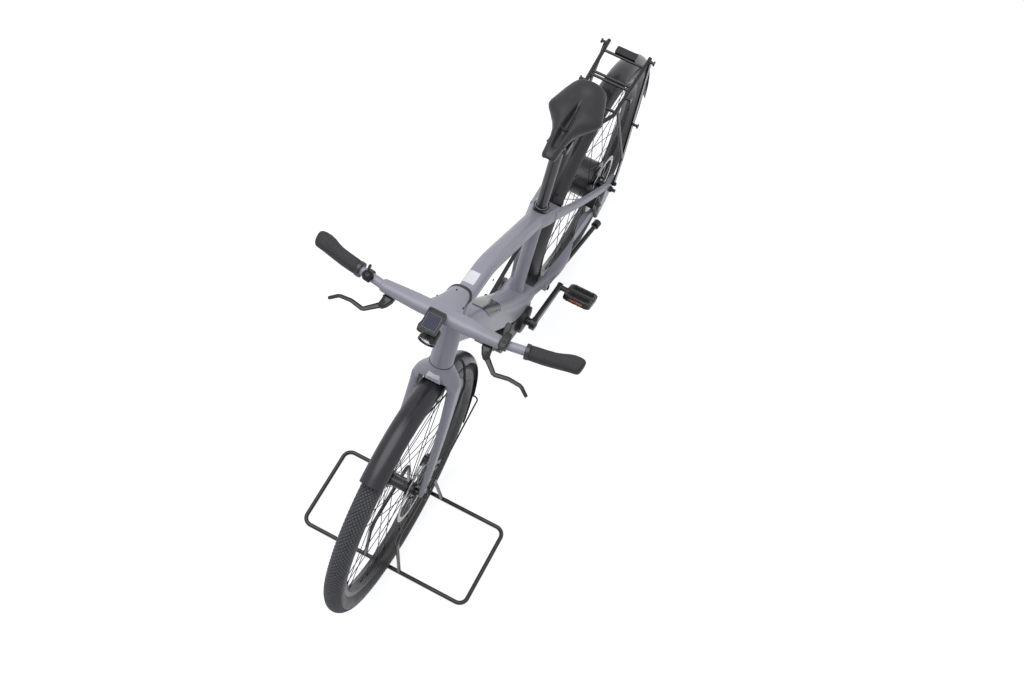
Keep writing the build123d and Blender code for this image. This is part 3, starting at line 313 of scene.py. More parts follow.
# Port cover: one injection-moulded lid in smoke-grey plastic, laid to the frame's own curve over the
# charging port. Its polish gives a clear, narrow highlight.
smoke = surface("smoke_gloss_lid", ("3C3D3F", "46474A"), 40, (0.16, 0.22), 6.0, 0.0,
                {"Specular IOR Level": 0.25})
slope, lid_up = Vector((-0.5986, 0, -0.8010)), Vector((-0.8010, 0, 0.5986))
lid_middle = Vector((0.162, 0, 0.6489))
lid_half_length, lid_half_width, corner_pinch = 0.082, 0.038, 0.14
lid_proud, lid_wall = 0.0020, 0.004


def thickened(sheet, downwards):
    """Give a sheet that follows a surface its under side and its rim."""
    under = bmesh.ops.extrude_face_region(sheet, geom=sheet.faces[:])["geom"]
    bmesh.ops.translate(sheet, verts=[v for v in under if isinstance(v, bmesh.types.BMVert)], vec=downwards)


bm = bmesh.new()
lid = bmesh.new()
bmesh.ops.create_grid(lid, x_segments=20, y_segments=14, size=1.0)
for v in lid.verts:
    along = v.co.x * (1 - corner_pinch * v.co.y ** 6) * lid_half_length
    across = v.co.y * (1 - corner_pinch * v.co.x ** 6) * lid_half_width
    start = lid_middle + slope * along + Vector((0, across, 0)) + lid_up * 0.08
    v.co = found_on(shell, start, -lid_up).translation + lid_up * lid_proud
thickened(lid, lid_up * -lid_wall)
joined(bm, lid)
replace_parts(made("port_lid", bm, [smoke], "frame"), "port_cover")

# Headset seals: black moulded rubber. A tall ring closes the joint under the stem and a thin one the
# joint over the fork's crown. The mudguard's flap, the hose and the belt have the same dull rubber.
rubber = surface("black_rubber", ("1B1B1D", "232326"), 12, (0.6, 0.75), 0.9, 0.05)
coat(rubber, "headset_cover", "front_flap", "brake_hose", "belt")
steer_rise, steer_lean = 0.93358, 0.35837
steer_up, steer_ahead = Vector((-steer_lean, 0, steer_rise)), Vector((steer_rise, 0, steer_lean))
axle_height, crown_height = 0.366, 0.752
steer_foot = Vector((0.5058, 0, axle_height))


def on_steerer(height, ahead=0.0, side=0.0):
    """Point at a height on the steering axis, moved ahead of it and to the side."""
    along = (height - axle_height) / steer_rise
    return steer_foot + steer_up * along + steer_ahead * ahead + Vector((0, side, 0))


bm = bmesh.new()
seal = lathe(((0.0160, -0.0004), (0.0302, -0.0004), (0.0307, 0.0), (0.0302, 0.0006), (0.0160, 0.0006)),
             48, True)
joined(bm, seal, aimed(on_steerer(crown_height), steer_up))
made("crown_seal", bm, [rubber], "steering")

# Fork: forged crown and blades, welded, filled and painted with the frame, so that a collar runs into
# the crown's shoulders without an edge. A blank bolt closes each axle end.
front_x, axle_end = 0.554, 0.0735
form = bmesh.new()
form.from_mesh(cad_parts["fork"].data)
bmesh.ops.remove_doubles(form, verts=form.verts, dist=1e-6)
collar = lathe(((0.0, -0.034), (0.0360, -0.034), (0.0325, -0.014), (0.0298, -0.0015), (0.0290, -0.0006),
                (0.0, -0.0006)), 48)
joined(form, collar, aimed(on_steerer(crown_height), steer_up))
bm = bmesh.new()
joined(bm, blended(form, voxel=0.0024, rounds=14))
fork = made("fork_blended", bm, [satin_paint], "steering", 60)
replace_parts(fork, "fork")
bm = bmesh.new()
for side in (1, -1):
    joined(bm, bolt(0.0062, 0.0016), aimed((front_x, side * axle_end, axle_height), (0, side, 0)))
made("front_axle_bolts", bm, [screw_black], "steering")

# Crown reflector: a clear plate moulded with prisms and backed in white, clipped to the crown's front.
# The prisms are drawn coarser than the real ones, so that they show as a bright sparkle.
prism = surface("clear_prism_reflector", ("D9DADE", "F2F2F4"), 3, (0.12, 0.3), 1.6, 0.25,
                {"Coat Weight": 0.5})
plate_width, plate_taper, plate_rise = 0.042, 0.013, 0.024
plate_height, plate_proud, plate_wall = 0.722, 0.0035, 0.005
bm = bmesh.new()
plate = bmesh.new()
bmesh.ops.create_grid(plate, x_segments=10, y_segments=8, size=0.5)
for v in plate.verts:
    across, rise = v.co.x * (plate_width - plate_taper * (v.co.y + 0.5)), v.co.y * plate_rise
    start = on_steerer(plate_height + rise, 0.10, across)
    v.co = found_on(fork, start, -steer_ahead).translation + steer_ahead * plate_proud
thickened(plate, steer_ahead * -plate_wall)
joined(bm, plate)
made("crown_reflector", bm, [prism], "steering", 50)

# Cockpit: stem and bar forged as one and painted with the frame, with round ends that carry the
# grips, a rubber lip round the stem's foot and flush black screws.
bar_x, bar_height = 0.374, 1.024
bar_middle, stem_foot = Vector((bar_x, 0, bar_height)), on_steerer(0.9606)
foot_pitch, stem_turn, lip = 111, 90, 0.0030
form = bmesh.new()
stem = []
for step in range(13):
    share = step / 12
    pitch = radians(foot_pitch - stem_turn * min(1.0, share * 1.12) ** 0.62)
    width = 0.056 + 0.060 * max(0.0, share - 0.30) ** 1.6 / 0.7 ** 1.6
    depth = 0.058 - 0.031 * share ** 0.8
    stem.append((stem_foot + (bar_middle - stem_foot) * share, width, depth, (cos(pitch), 0, sin(pitch))))
joined(form, skin(stem, up=(-1, 0, 0), roundness=0.8, segments=40))
joined(form, skin([
    (bar_middle + Vector((0, y, 0)), chord, depth) for y, chord, depth in (
        (-0.150, 0.0295, 0.0250), (-0.147, 0.0315, 0.0265), (-0.110, 0.0365, 0.0290), (-0.062, 0.042, 0.032),
        (0.0, 0.042, 0.032), (0.062, 0.042, 0.032), (0.110, 0.0365, 0.0290), (0.147, 0.0315, 0.0265),
        (0.150, 0.0295, 0.0250))],
    up=steer_up, roundness=0.72, segments=32))
bm = bmesh.new()
joined(bm, blended(form, voxel=0.0020, rounds=9))
bar_end, bar_sweep, swept_length = 0.022, 0.028, 0.180
for side in (1, -1):
    swept = [(bar_x - bar_sweep * (y - 0.150) / swept_length, side * y, bar_height)
             for y in (0.140, 0.150, 0.328, 0.330)]
    joined(bm, skin([(middle, bar_end, bar_end) for middle in swept], roundness=1.0, segments=32))
joined(bm, skin([(middle, width + lip, depth + lip, facing) for middle, width, depth, facing in stem[1:3]],
                up=(-1, 0, 0), roundness=0.8, segments=40), finish=1)
cockpit = made("cockpit_blended", bm, [satin_paint, rubber], "steering", 50)
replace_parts(cockpit, "cockpit")
bm = bmesh.new()
for start, towards, size in (
        ((0.288, -0.005, 1.1), (0, 0, -1), 0.0022), ((0.330, 0.033, 1.1), (0, 0, -1), 0.0022),
        ((0.330, -0.033, 1.1), (0, 0, -1), 0.0022),
        ((0.45, 0.050, 1.013), (-1, 0, 0), 0.0032), ((0.45, -0.052, 1.013), (-1, 0, 0), 0.0032)):
    joined(bm, bolt(size, 0.0022), found_on(cockpit, start, towards))
made("cockpit_screws", bm, [screw_black], "steering")

# Tyres: black rubber moulded onto a woven casing, with thirteen rows of small diamond blocks on the
# tread and two fine ridges round each sidewall. The mould leaves the blocks' edges crisp.
rear_x = -0.536
hubs = (("front", Vector((front_x, 0, axle_height)), "front_wheel"),
        ("rear", Vector((rear_x, 0, axle_height)), "rear_wheel"))
to_wheel = Matrix.Rotation(radians(-90), 4, "X")
tyre_rubber = surface("tyre_casing_rubber", ("161618", "1E1E20"), 15, (0.42, 0.55), 1.0, 0.05)
# The tread blocks are painted a mid grey, far lighter than the black casing: a painted highlight for the
# light that catches the blocks' tops, which leaves the gaps between them darker.
tread_rubber = surface("tread_rubber_painted_highlight", ("4C4C50", "5A5A5E"), 9, (0.6, 0.75), 0.8, 0.06)
bead_radius, bead_side = 0.3163, 0.0137
casing_middle, casing_radius, casing_stretch = 0.3385, 0.0247, 1.06
ridge_steps, ridge_height = (17, 21), 0.0006
tread_radius, block_depth, row_angle, last_row = 0.0275, 0.0034, 10.6, 6
blocks_round = 196
for name, hub, body in hubs:
    bm = bmesh.new()
    outline = [(bead_radius, -bead_side)]
    for step in range(-25, 26):
        angle = radians(step * 5)
        bulge = casing_radius + (ridge_height if abs(step) in ridge_steps else 0.0)
        outline.append((casing_middle + bulge * cos(angle), bulge * sin(angle) * casing_stretch))
    outline.append((bead_radius, bead_side))
    joined(bm, lathe(outline, 144, True))
    tread = bmesh.new()
    for row in range(-last_row, last_row + 1):
        angle = radians(row * row_angle)
        length = 1.25 if abs(row) == last_row else 1
        block = bmesh.new()
        bmesh.ops.create_cone(block, cap_ends=True, segments=4, radius1=0.0048, radius2=0.0034,
                              depth=block_depth)
        top = [e for e in block.edges if all(v.co.z > 0.001 for v in e.verts)]
        bmesh.ops.bevel(block, geom=top, offset=0.0005, segments=1, profile=0.5, affect="EDGES", material=-1)
        under = [f for f in block.faces if f.normal.z < -0.9]
        bmesh.ops.delete(block, geom=under, context="FACES")
        bmesh.ops.scale(block, verts=block.verts, vec=(1.10, 1.02, length))
        normal = Vector((cos(angle), 0, sin(angle)))
        along, across = Vector((0, 1, 0)), Vector((-sin(angle), 0, cos(angle)))
        place = Matrix((along, across, normal)).transposed().to_4x4()
        place.translation = Vector((casing_middle, 0, 0)) + normal * (
            tread_radius - block_depth / 2 - 0.0001 * abs(row))
        joined(tread, block, Matrix.Rotation(pi / blocks_round * (row % 2), 4, "Z") @ place)
    bmesh.ops.spin(tread, geom=tread.verts[:] + tread.edges[:] + tread.faces[:], cent=(0, 0, 0),
                   axis=(0, 0, 1), dvec=(0, 0, 0), angle=2 * pi * (blocks_round - 1) / blocks_round,
                   steps=blocks_round - 1, use_duplicate=True)
    joined(bm, tread, finish=1)
    bm.transform(Matrix.Translation(hub) @ to_wheel)
    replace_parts(made(name + "_tyre_treaded", bm, [tyre_rubber, tread_rubber], body), name + "_tyre")

# Rims, hubs and spokes: black anodised extrusions, turned hubs and black steel wire, with a nipple at
# each spoke and one valve with its cap. The anodising has a soft, even sheen.
black_anodised = surface("black_anodised_aluminium", ("101013", "17171B"), 25, (0.28, 0.38), 0.5, 0.01,
                         {"Specular IOR Level": 0.6})
coat(black_anodised, "front_rim", "rear_rim", "front_hub", "rear_hub", "seat_collar", "front_axle",
     "rear_axle")
black_steel = surface("black_steel_wire", ("26262A", "303035"), 8, (0.28, 0.36), 0.6, 0.01, {"Metallic": 0.8})
coat(black_steel, "front_spokes", "rear_spokes", "front_stay")
spoke_reach, spoke_swing, valve_angle = 0.297, radians(52), radians(-101.25)
for (name, hub, body), flange, flange_sides in zip(hubs, (0.025, 0.063), ((0.019, -0.032), (0.027, -0.030))):
    bm = bmesh.new()
    for side, flange_y, stagger in ((1, flange_sides[0], pi / 8), (-1, flange_sides[1], 0.0)):
        for pair in range(8):
            for lean in (1, -1):
                angle = (pair + lean * 0.25) * pi / 4 + stagger
                far = angle + lean * spoke_swing
                start = Vector((flange * cos(angle), flange_y + lean * 0.0024, flange * sin(angle)))
                end = Vector((spoke_reach * cos(far), side * 0.004, spoke_reach * sin(far)))
                nipple = lathe(((0.0, 0.0), (0.0024, 0.0), (0.0024, 0.0035), (0.0017, 0.0045),
                                (0.0015, 0.013), (0.0, 0.013)), 8)
                joined(bm, nipple, aimed(hub + end, start - end))
    valve = lathe(((0.0, 0.0), (0.0045, 0.0), (0.0045, 0.002), (0.0028, 0.003), (0.0028, 0.022),
                   (0.0038, 0.023), (0.0038, 0.034), (0.0030, 0.036), (0.0, 0.036)), 16)
    to_valve = Vector((cos(valve_angle), 0, sin(valve_angle)))
    joined(bm, valve, aimed(hub + to_valve * spoke_reach, -to_valve))
    made(name + "_nipples", bm, [black_steel], body, 40)

# Brake discs: stamped stainless rings, ground flat and drilled, on a black swept carrier that six
# bolts hold to the hub. The grinding leaves a fine, bright grain.
disc_steel = surface("ground_disc_steel", ("8E8E92", "A6A6AA"), 10, (0.22, 0.34), 0.5, 0.01,
                     {"Metallic": 1.0})
band_radius, band_width, band_wall, hole_pitch = 0.0832, 0.0136, 0.0017, 10
bolt_circle, arm_sweep, arm_wall = 0.022, radians(14), 0.0016
for (name, hub, body), disc_y in zip(hubs, (0.037, 0.046)):
    bm = bmesh.new()
    band = bmesh.new()
    bmesh.ops.create_grid(band, x_segments=4, y_segments=4, size=0.5)
    inner = [v for v in band.verts if max(abs(v.co.x), abs(v.co.y)) < 0.4]
    bmesh.ops.delete(band, geom=inner, context="VERTS")
    hole = bmesh.ops.create_circle(band, segments=16, radius=0.2)["verts"]
    bmesh.ops.rotate(band, verts=hole, cent=(0, 0, 0), matrix=Matrix.Rotation(radians(11.25), 3, "Z"))
    bmesh.ops.bridge_loops(band, edges=band.edges)
    for v in band.verts:
        radius, angle = band_radius + v.co.y * band_width, radians(v.co.x * hole_pitch)
        v.co = Vector((radius * cos(angle), radius * sin(angle), 0))
    bmesh.ops.spin(band, geom=band.verts[:] + band.edges[:] + band.faces[:], cent=(0, 0, 0), axis=(0, 0, 1),
                   dvec=(0, 0, 0), angle=radians(360 - hole_pitch), steps=360 // hole_pitch - 1,
                   use_duplicate=True)
    bmesh.ops.remove_doubles(band, verts=band.verts, dist=1e-5)
    bmesh.ops.recalc_face_normals(band, faces=band.faces)
    bmesh.ops.solidify(band, geom=band.faces, thickness=band_wall)
    joined(bm, band, Matrix.Translation((0, 0, -0.0008)))
    carrier = lathe(((0.0112, -0.0009), (0.0112, 0.0009), (0.0265, 0.0009), (0.0265, -0.0009)), 48, True)
    joined(bm, carrier, finish=1)
    for arm in range(6):
        base = arm * pi / 3
        spider = bmesh.new()
        rings = []
        for reach, width in ((0.0245, 0.012), (0.040, 0.0085), (0.060, 0.007), (0.0775, 0.0085)):
            angle = base + arm_sweep * (reach - 0.02) / 0.058
            ring = bmesh.ops.create_circle(spider, segments=4, radius=0.7071)["verts"]
            bmesh.ops.rotate(spider, verts=ring, cent=(0, 0, 0), matrix=Matrix.Rotation(radians(45), 3, "Z"))
            outwards = Vector((cos(angle), sin(angle), 0))
            across = outwards.cross(Vector((0, 0, 1))) * width
            place = Matrix((across, Vector((0, 0, arm_wall)), outwards)).transposed().to_4x4()
            place.translation = outwards * reach
            bmesh.ops.transform(spider, verts=ring, matrix=place)
            rings.append({e for v in ring for e in v.link_edges})
        for one, two in zip(rings, rings[1:]):
            bmesh.ops.bridge_loops(spider, edges=list(one | two))
        joined(bm, spider, finish=1)
        spot = Vector((bolt_circle * cos(base), bolt_circle * sin(base), 0.0009))
        joined(bm, bolt(0.0036, 0.0022), Matrix.Translation(spot), finish=1)
    bm.transform(Matrix.Translation(hub + Vector((0, disc_y, 0))) @ to_wheel)
    disc = made(name + "_disc_drilled", bm, [disc_steel, screw_black], body)
    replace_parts(disc, name + "_disc")

# Calipers: forged black bodies, each held on its mount by two bolts in line with the disc's edge.
# They have the rims' anodised sheen.
coat(black_anodised, "front_caliper", "rear_caliper")
for name, middle_x, middle_height, (ahead, above), body in (
        ("front", front_x - 0.074, 0.410, (0.5, 0.86), "steering"),
        ("rear", rear_x + 0.074, 0.402, (0.44, -0.9), "frame")):
    bm = bmesh.new()
    for along in (-0.017, 0.017):
        start = (middle_x + along * ahead, 0.12, middle_height + along * above)
        joined(bm, bolt(0.0048, 0.003), found_on(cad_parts[name + "_caliper"], start, (0, -1, 0)))
    made(name + "_caliper_bolts", bm, [screw_black], body)

# Mudguards: roll-formed aluminium with rolled edges, held by small screws at two places along each.
# The dark grey coat is smooth enough for a long, soft highlight.
guard_grey = surface("matt_guard_aluminium", ("1A1A20", "222229"), 40, (0.26, 0.36), 1.0, 0.01)
coat(guard_grey, "front_mudguard", "rear_mudguard")
for name, hub_x, (one, two), body in (
        ("front", front_x, (120, 190), "steering"), ("rear", rear_x, (46, 100), "frame")):
    bm = bmesh.new()
    for angle, y in ((one, 0.010), (one, -0.010), (two, 0.012), (two, -0.012)):
        out = Vector((cos(radians(angle)), 0, sin(radians(angle))))
        start = Vector((hub_x, y, axle_height)) + out * 0.45
        joined(bm, bolt(0.0036, 0.0018), found_on(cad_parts[name + "_mudguard"], start, -out))
    made(name + "_guard_screws", bm, [screw_black], body)

# Display: a moulded black case with a bonded glass face over a blank, unlit panel, on a thin tray
# whose foot clamps to the bar. The glass gives a sharper highlight than the case.
moulded_black = surface("black_moulded_nylon", ("131315", "19191B"), 12, (0.36, 0.5), 0.8, 0.04)
glass_black = surface("black_screen_glass", ("08080A", "0B0B0D"), 20, (0.18, 0.24), 4.0, 0.0,
                      {"Specular IOR Level": 0.25})
screen_blue = surface("unlit_screen_panel", ("121A30", "1A2440"), 30, (0.18, 0.24), 4.0, 0.0,
                      {"Specular IOR Level": 0.25})
screen_line = surface("printed_screen_edge", ("7C828C", "8C929C"), 10, (0.2, 0.3), 1.0, 0.0)


def rounded_block(length, width, depth, corner, edge):
    """Block with rounded upright corners and softened rims, centred on the origin."""
    detail = bmesh.new()
    bmesh.ops.create_cube(detail, size=1.0)
    bmesh.ops.scale(detail, verts=detail.verts, vec=(length, width, depth))
    upright = [e for e in detail.edges if abs(e.verts[0].co.z - e.verts[1].co.z) > depth / 2]
    bmesh.ops.bevel(detail, geom=upright, offset=corner, segments=5, profile=0.5, affect="EDGES", material=-1)
    rims = [e for e in detail.edges if e.calc_face_angle(0) > 1.0]
    bmesh.ops.bevel(detail, geom=rims, offset=edge, segments=2, profile=0.5, affect="EDGES", material=-1)
    return detail


display_place = Matrix.Translation((0.410, -0.001, 1.046)) @ Matrix.Rotation(radians(8), 4, "Y")
bm = bmesh.new()
for size, shift, finish in (
        ((0.0555, 0.0445, 0.0062, 0.005, 0.0008), (0, 0, 0.0015), 0),
        ((0.0575, 0.0425, 0.0042, 0.006, 0.001), (0.0012, 0, -0.0030), 0),
        ((0.0500, 0.0390, 0.0008, 0.0036, 0.0002), (0, 0, 0.0047), 1),
        ((0.0380, 0.0345, 0.0002, 0.001, 0.00005), (0.0042, 0, 0.00515), 3),
        ((0.0368, 0.0333, 0.0002, 0.001, 0.00005), (0.0042, 0, 0.00525), 2)):
    joined(bm, rounded_block(*size), display_place @ Matrix.Translation(shift), finish)
joined(bm, rounded_block(0.026, 0.026, 0.016, 0.004, 0.0008), Matrix.Translation((0.392, -0.001, 1.0375)))
display = made("display_unit", bm, [moulded_black, glass_black, screen_blue, screen_line],
               "steering")
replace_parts(display, "display")

# Headlamp: a ribbed barrel moulded in black nylon, with a bright bowl behind a clear lens, on a short
# arm under the display. The bowl's vapour coating mirrors the room through the lens.
bowl_chrome = surface("vapour_coated_bowl", ("D2D3D6", "E4E5E8"), 6, (0.05, 0.1), 2.0, 0.02,
                      {"Metallic": 1.0})
lens_clear = surface("clear_lens_plastic", ("F4F6F8", "FFFFFF"), 20, (0.02, 0.04), 5.0, 0.0,
                     {"Transmission Weight": 1.0, "IOR": 1.49})
lamp_place = aimed((0.400, -0.001, 0.998), (1, 0, -0.12))
first_rib, rib_spacing = 0.0065, 0.0042
bm = bmesh.new()
barrel = [(0.0, 0.0), (0.012, 0.0), (0.0165, 0.0015), (0.0190, 0.0050)]
for rib in range(5):
    start = first_rib + rib * rib_spacing
    barrel += [(0.0188, start), (0.0200, start + 0.0006), (0.0200, start + 0.0022), (0.0188, start + 0.0028)]
barrel += [(0.0192, 0.0278), (0.0215, 0.0292), (0.0219, 0.0310), (0.0219, 0.0392), (0.0210, 0.0399),
           (0.0198, 0.0392), (0.0196, 0.0340)]
joined(bm, lathe(barrel, 48), lamp_place)
bowl = lathe(((0.0196, 0.0350), (0.0170, 0.0320), (0.0130, 0.0290), (0.0080, 0.0268), (0.0035, 0.0260),
              (0.0, 0.0259)), 48)
joined(bm, bowl, lamp_place, 1)
cover = lathe(((0.0196, 0.0362), (0.0160, 0.0372), (0.0100, 0.0382), (0.0050, 0.0387), (0.0, 0.0388),
               (0.0, 0.0378), (0.0100, 0.0370), (0.0196, 0.0352)), 48)
joined(bm, cover, lamp_place, 2)
arm = skin((((0.422, -0.001, 0.999), 0.010, 0.010), ((0.410, -0.001, 1.004), 0.012, 0.010),
            ((0.396, -0.001, 1.011), 0.012, 0.009), ((0.382, -0.001, 1.016), 0.012, 0.008)), roundness=0.8)
joined(bm, arm)
headlamp = made("headlamp_unit", bm, [moulded_black, bowl_chrome, lens_clear], "steering", 30)
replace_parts(headlamp, "headlamp")

# Grips: soft black rubber moulded over a sleeve, with a palm wing at the outer end, fine crossed ribs
# and a clamp ring with one screw at the inner end. The ribs break up the dull rubber's highlight.


def pressed(material, pattern, output, depth_mm):
    """Press a pattern into a material's surface, over its grain."""
    tree = material.node_tree
    shader = tree.nodes["Principled BSDF"]
    below = shader.inputs["Normal"].links[0].from_node
    relief = add(tree, "ShaderNodeBump", {}, {"Distance": depth_mm / 1000},
                 {"Height": (pattern, output), "Normal": (below, 0)})
    tree.links.new(relief.outputs[0], shader.inputs["Normal"])


grip_rubber = surface("ribbed_grip_rubber", ("161619", "1F1F23"), 10, (0.52, 0.66), 0.8, 0.05)
tree = grip_rubber.node_tree
place = add(tree, "ShaderNodeTexCoord")
for bands, rib_mm, depth_mm in (("X", 3.49, 0.5), ("Y", 6.98, 0.25)):
    ribs = add(tree, "ShaderNodeTexWave", {"bands_direction": bands, "wave_profile": "SIN"},
               {"Scale": 100 * pi / rib_mm, "Distortion": 0.0}, {"Vector": (place, "Object")})
    pressed(grip_rubber, ribs, "Fac", depth_mm)
# Stations along a grip: distance from its inner end, shift towards the palm, chord and depth.
grip_stations = (
    (0.008, 0.0, 0.030, 0.030), (0.0095, 0.0, 0.0335, 0.0335), (0.022, 0.0, 0.0345, 0.0345),
    (0.045, 0.0, 0.0350, 0.0350), (0.066, 0.001, 0.0350, 0.0340), (0.082, 0.0030, 0.0375, 0.0325),
    (0.096, 0.0055, 0.0410, 0.0315), (0.108, 0.0068, 0.0425, 0.0310), (0.118, 0.0065, 0.0420, 0.0310),
    (0.1250, 0.0058, 0.0395, 0.0300), (0.1290, 0.0050, 0.0350, 0.0275), (0.1310, 0.0045, 0.0290, 0.0235),
    (0.1318, 0.0043, 0.0200, 0.0160))
back_sweep, side_sweep = 0.1537, 0.9881
inner_x, inner_y = 0.36498, 0.208
for side, name in ((1, "left"), (-1, "right")):
    bm = bmesh.new()
    outward = Vector((-back_sweep, side * side_sweep, 0))
    inner_end = Vector((inner_x, side * inner_y, bar_height))
    behind = Vector((-side_sweep, side * -back_sweep, 0))
    joined(bm, skin([(inner_end + outward * along + behind * back, chord, depth)
                     for along, back, chord, depth in grip_stations], roundness=0.9, segments=40))
    grip = made("grip_" + name + "_moulded", bm, [grip_rubber], "steering", 80)
    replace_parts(grip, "grip_" + name)
    bm = bmesh.new()
    ring = lathe(((0.0113, -0.0005), (0.0178, -0.0005), (0.0186, 0.0005), (0.0186, 0.0085), (0.0178, 0.0095),
                  (0.0113, 0.0095)), 48, True)
    joined(bm, ring, aimed(inner_end, outward))
    clamp = inner_end + outward * 0.0045
    joined(bm, rounded_block(0.011, 0.009, 0.009, 0.002, 0.0008),
           Matrix.Translation(clamp + Vector((0.004, 0, -0.0185))))
    joined(bm, bolt(0.003, 0.0018), aimed(clamp + Vector((0.0095, 0, -0.0185)), (1, 0, 0)))
    made("grip_ring_" + name, bm, [black_anodised], "steering")

# Brake levers: forged aluminium in the glossy black enamel that the rack's tubes have. A pivot block
# clamps under the bar and carries a flat blade that kinks outwards to a rounded tip.
tube_black = surface("black_tube_enamel", ("0F0F12", "16161A"), 30, (0.22, 0.3), 1.2, 0.02)
for side, name in ((1, "left"), (-1, "right")):
    bm = bmesh.new()
    block = skin((
        ((0.368, side * 0.124, 1.004), 0.020, 0.012), ((0.374, side * 0.124, 1.003), 0.028, 0.018),
        ((0.390, side * 0.126, 0.9995), 0.026, 0.021), ((0.402, side * 0.130, 0.9965), 0.021, 0.018),
        ((0.410, side * 0.135, 0.9945), 0.016, 0.013), ((0.413, side * 0.137, 0.994), 0.009, 0.008)),
        roundness=0.5)
    joined(bm, block)
    blade = skin((
        ((0.398, side * 0.124, 0.9960), 0.012, 0.006), ((0.404, side * 0.131, 0.9950), 0.0150, 0.008),
        ((0.418, side * 0.1475, 0.9925), 0.0125, 0.0072), ((0.4325, side * 0.1645, 0.9900), 0.0112, 0.0066),
        ((0.4338, side * 0.1690, 0.9893), 0.0108, 0.0066), ((0.4270, side * 0.198, 0.9865), 0.0100, 0.0062),
        ((0.4265, side * 0.203, 0.9860), 0.0098, 0.0062), ((0.4268, side * 0.229, 0.9820), 0.0092, 0.0062),
        ((0.4285, side * 0.234, 0.9810), 0.0090, 0.0062), ((0.4380, side * 0.2495, 0.9735), 0.0084, 0.0064),
        ((0.4400, side * 0.2530, 0.9720), 0.0064, 0.0056)), roundness=0.6)
    joined(bm, blade)
    joined(bm, bolt(0.0042, 0.0018), aimed((0.4015, side * 0.130, 1.0055), (0, 0, 1)))
    joined(bm, bolt(0.0030, 0.0018), aimed((0.386, side * (0.126 + 0.0135), 0.9995), (0, side, 0)))
    lever = made("brake_lever_" + name + "_forged", bm, [tube_black], "steering", 40)
    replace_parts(lever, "brake_lever_" + name)

# Bell: a small spun brass dome, black plated, on a moulded band round the bar, with a striker. The
# plating gives it a brighter highlight than the parts round it.
bell_black = surface("black_plated_brass", ("1C1C1E", "2A2A2D"), 14, (0.16, 0.26), 1.0, 0.01,
                     {"Metallic": 0.7})
bell_x, bell_y = 0.3766, -0.185
band = ((0.0113, -0.006), (0.0150, -0.006), (0.0155, -0.0052), (0.0155, 0.0052), (0.0150, 0.006),
        (0.0113, 0.006))
bm = bmesh.new()
joined(bm, lathe(band, 40, True), aimed((0.3686, bell_y, bar_height), (-back_sweep, -side_sweep, 0)), 1)
dome = lathe(((0.0, 0.0012), (0.0132, 0.0012), (0.0139, 0.0006), (0.0140, 0.0020), (0.0135, 0.0050),
              (0.0120, 0.0086), (0.0092, 0.0116), (0.0052, 0.0134), (0.0, 0.0140)), 40)
joined(bm, dome, Matrix.Translation((bell_x, bell_y, 1.0352)))
stud = lathe(((0.0, 0.0), (0.0026, 0.0), (0.0026, 0.002), (0.0, 0.0034)), 16)
joined(bm, stud, Matrix.Translation((bell_x, bell_y, 1.0488)))
striker = skin((((0.368, -0.190, 1.0385), 0.004, 0.003), ((0.364, -0.190, 1.042), 0.006, 0.0035),
                ((0.358, -0.190, 1.046), 0.008, 0.0035), ((0.3535, -0.190, 1.0485), 0.005, 0.003)))
joined(bm, striker, finish=1)
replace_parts(made("bell_domed", bm, [bell_black, moulded_black], "steering", 40), "bell")

# Remote: a moulded nylon pad with two soft rubber keys and a thumb tab, on a band that clamps to the
# bar beside the stem. The keys are duller than the pad.
remote_x, remote_y = 0.3724, 0.160
bm = bmesh.new()
joined(bm, lathe(band, 40, True), aimed((remote_x, remote_y, bar_height), (-back_sweep, side_sweep, 0)))
pad = skin((((0.352, remote_y, 1.0425), 0.012, 0.006), ((0.355, remote_y, 1.0430), 0.017, 0.0095),
            ((0.364, remote_y, 1.0440), 0.0195, 0.0115), ((0.384, remote_y, 1.0440), 0.0195, 0.0115),
            ((0.392, remote_y, 1.0430), 0.017, 0.0095), ((0.396, remote_y, 1.0415), 0.011, 0.006)),
           roundness=0.55, segments=24)
joined(bm, pad)
joined(bm, rounded_block(0.012, 0.010, 0.010, 0.003, 0.001), Matrix.Translation((remote_x, remote_y, 1.0375)))
for x, size in ((0.366, 0.0052), (0.380, 0.0044)):
    key = lathe(((0.0, 0.0), (size, 0.0), (size, 0.0008), (size * 0.8, 0.0013), (0.0, 0.0010)), 24)
    joined(bm, key, Matrix.Translation((x, remote_y, 1.0492)), 1)
tab = skin((((0.366, 0.1535, 1.0370), 0.010, 0.008), ((0.356, 0.1520, 1.0410), 0.013, 0.008),
            ((0.344, 0.1510, 1.0465), 0.0160, 0.0065), ((0.336, 0.1505, 1.0495), 0.0150, 0.0050),
            ((0.333, 0.1505, 1.0505), 0.010, 0.003)), roundness=0.6, segments=20)
joined(bm, tab)
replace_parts(made("remote_pad", bm, [moulded_black, rubber], "steering", 40), "remote")

# Crankset: cold-forged black arms on one axle, with a plain socket bolt at each root and five bolts
# that hold the belt ring.
coat(black_anodised, "crankset")
ring_radius = 0.070
bm = bmesh.new()
for side in (1, -1):
    joined(bm, bolt(0.0105, 0.0018), aimed((crank_x, side * 0.084, crank_height), (0, side, 0)))
for spoke in range(5):
    angle = radians(spoke * 72 + 20)
    start = Vector((crank_x + ring_radius * cos(angle), -0.075, crank_height - ring_radius * sin(angle)))
    joined(bm, bolt(0.0042, 0.0022), found_on(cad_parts["crankset"], start, (0, 1, 0)))
made("crank_bolts", bm, [screw_black], "cranks")

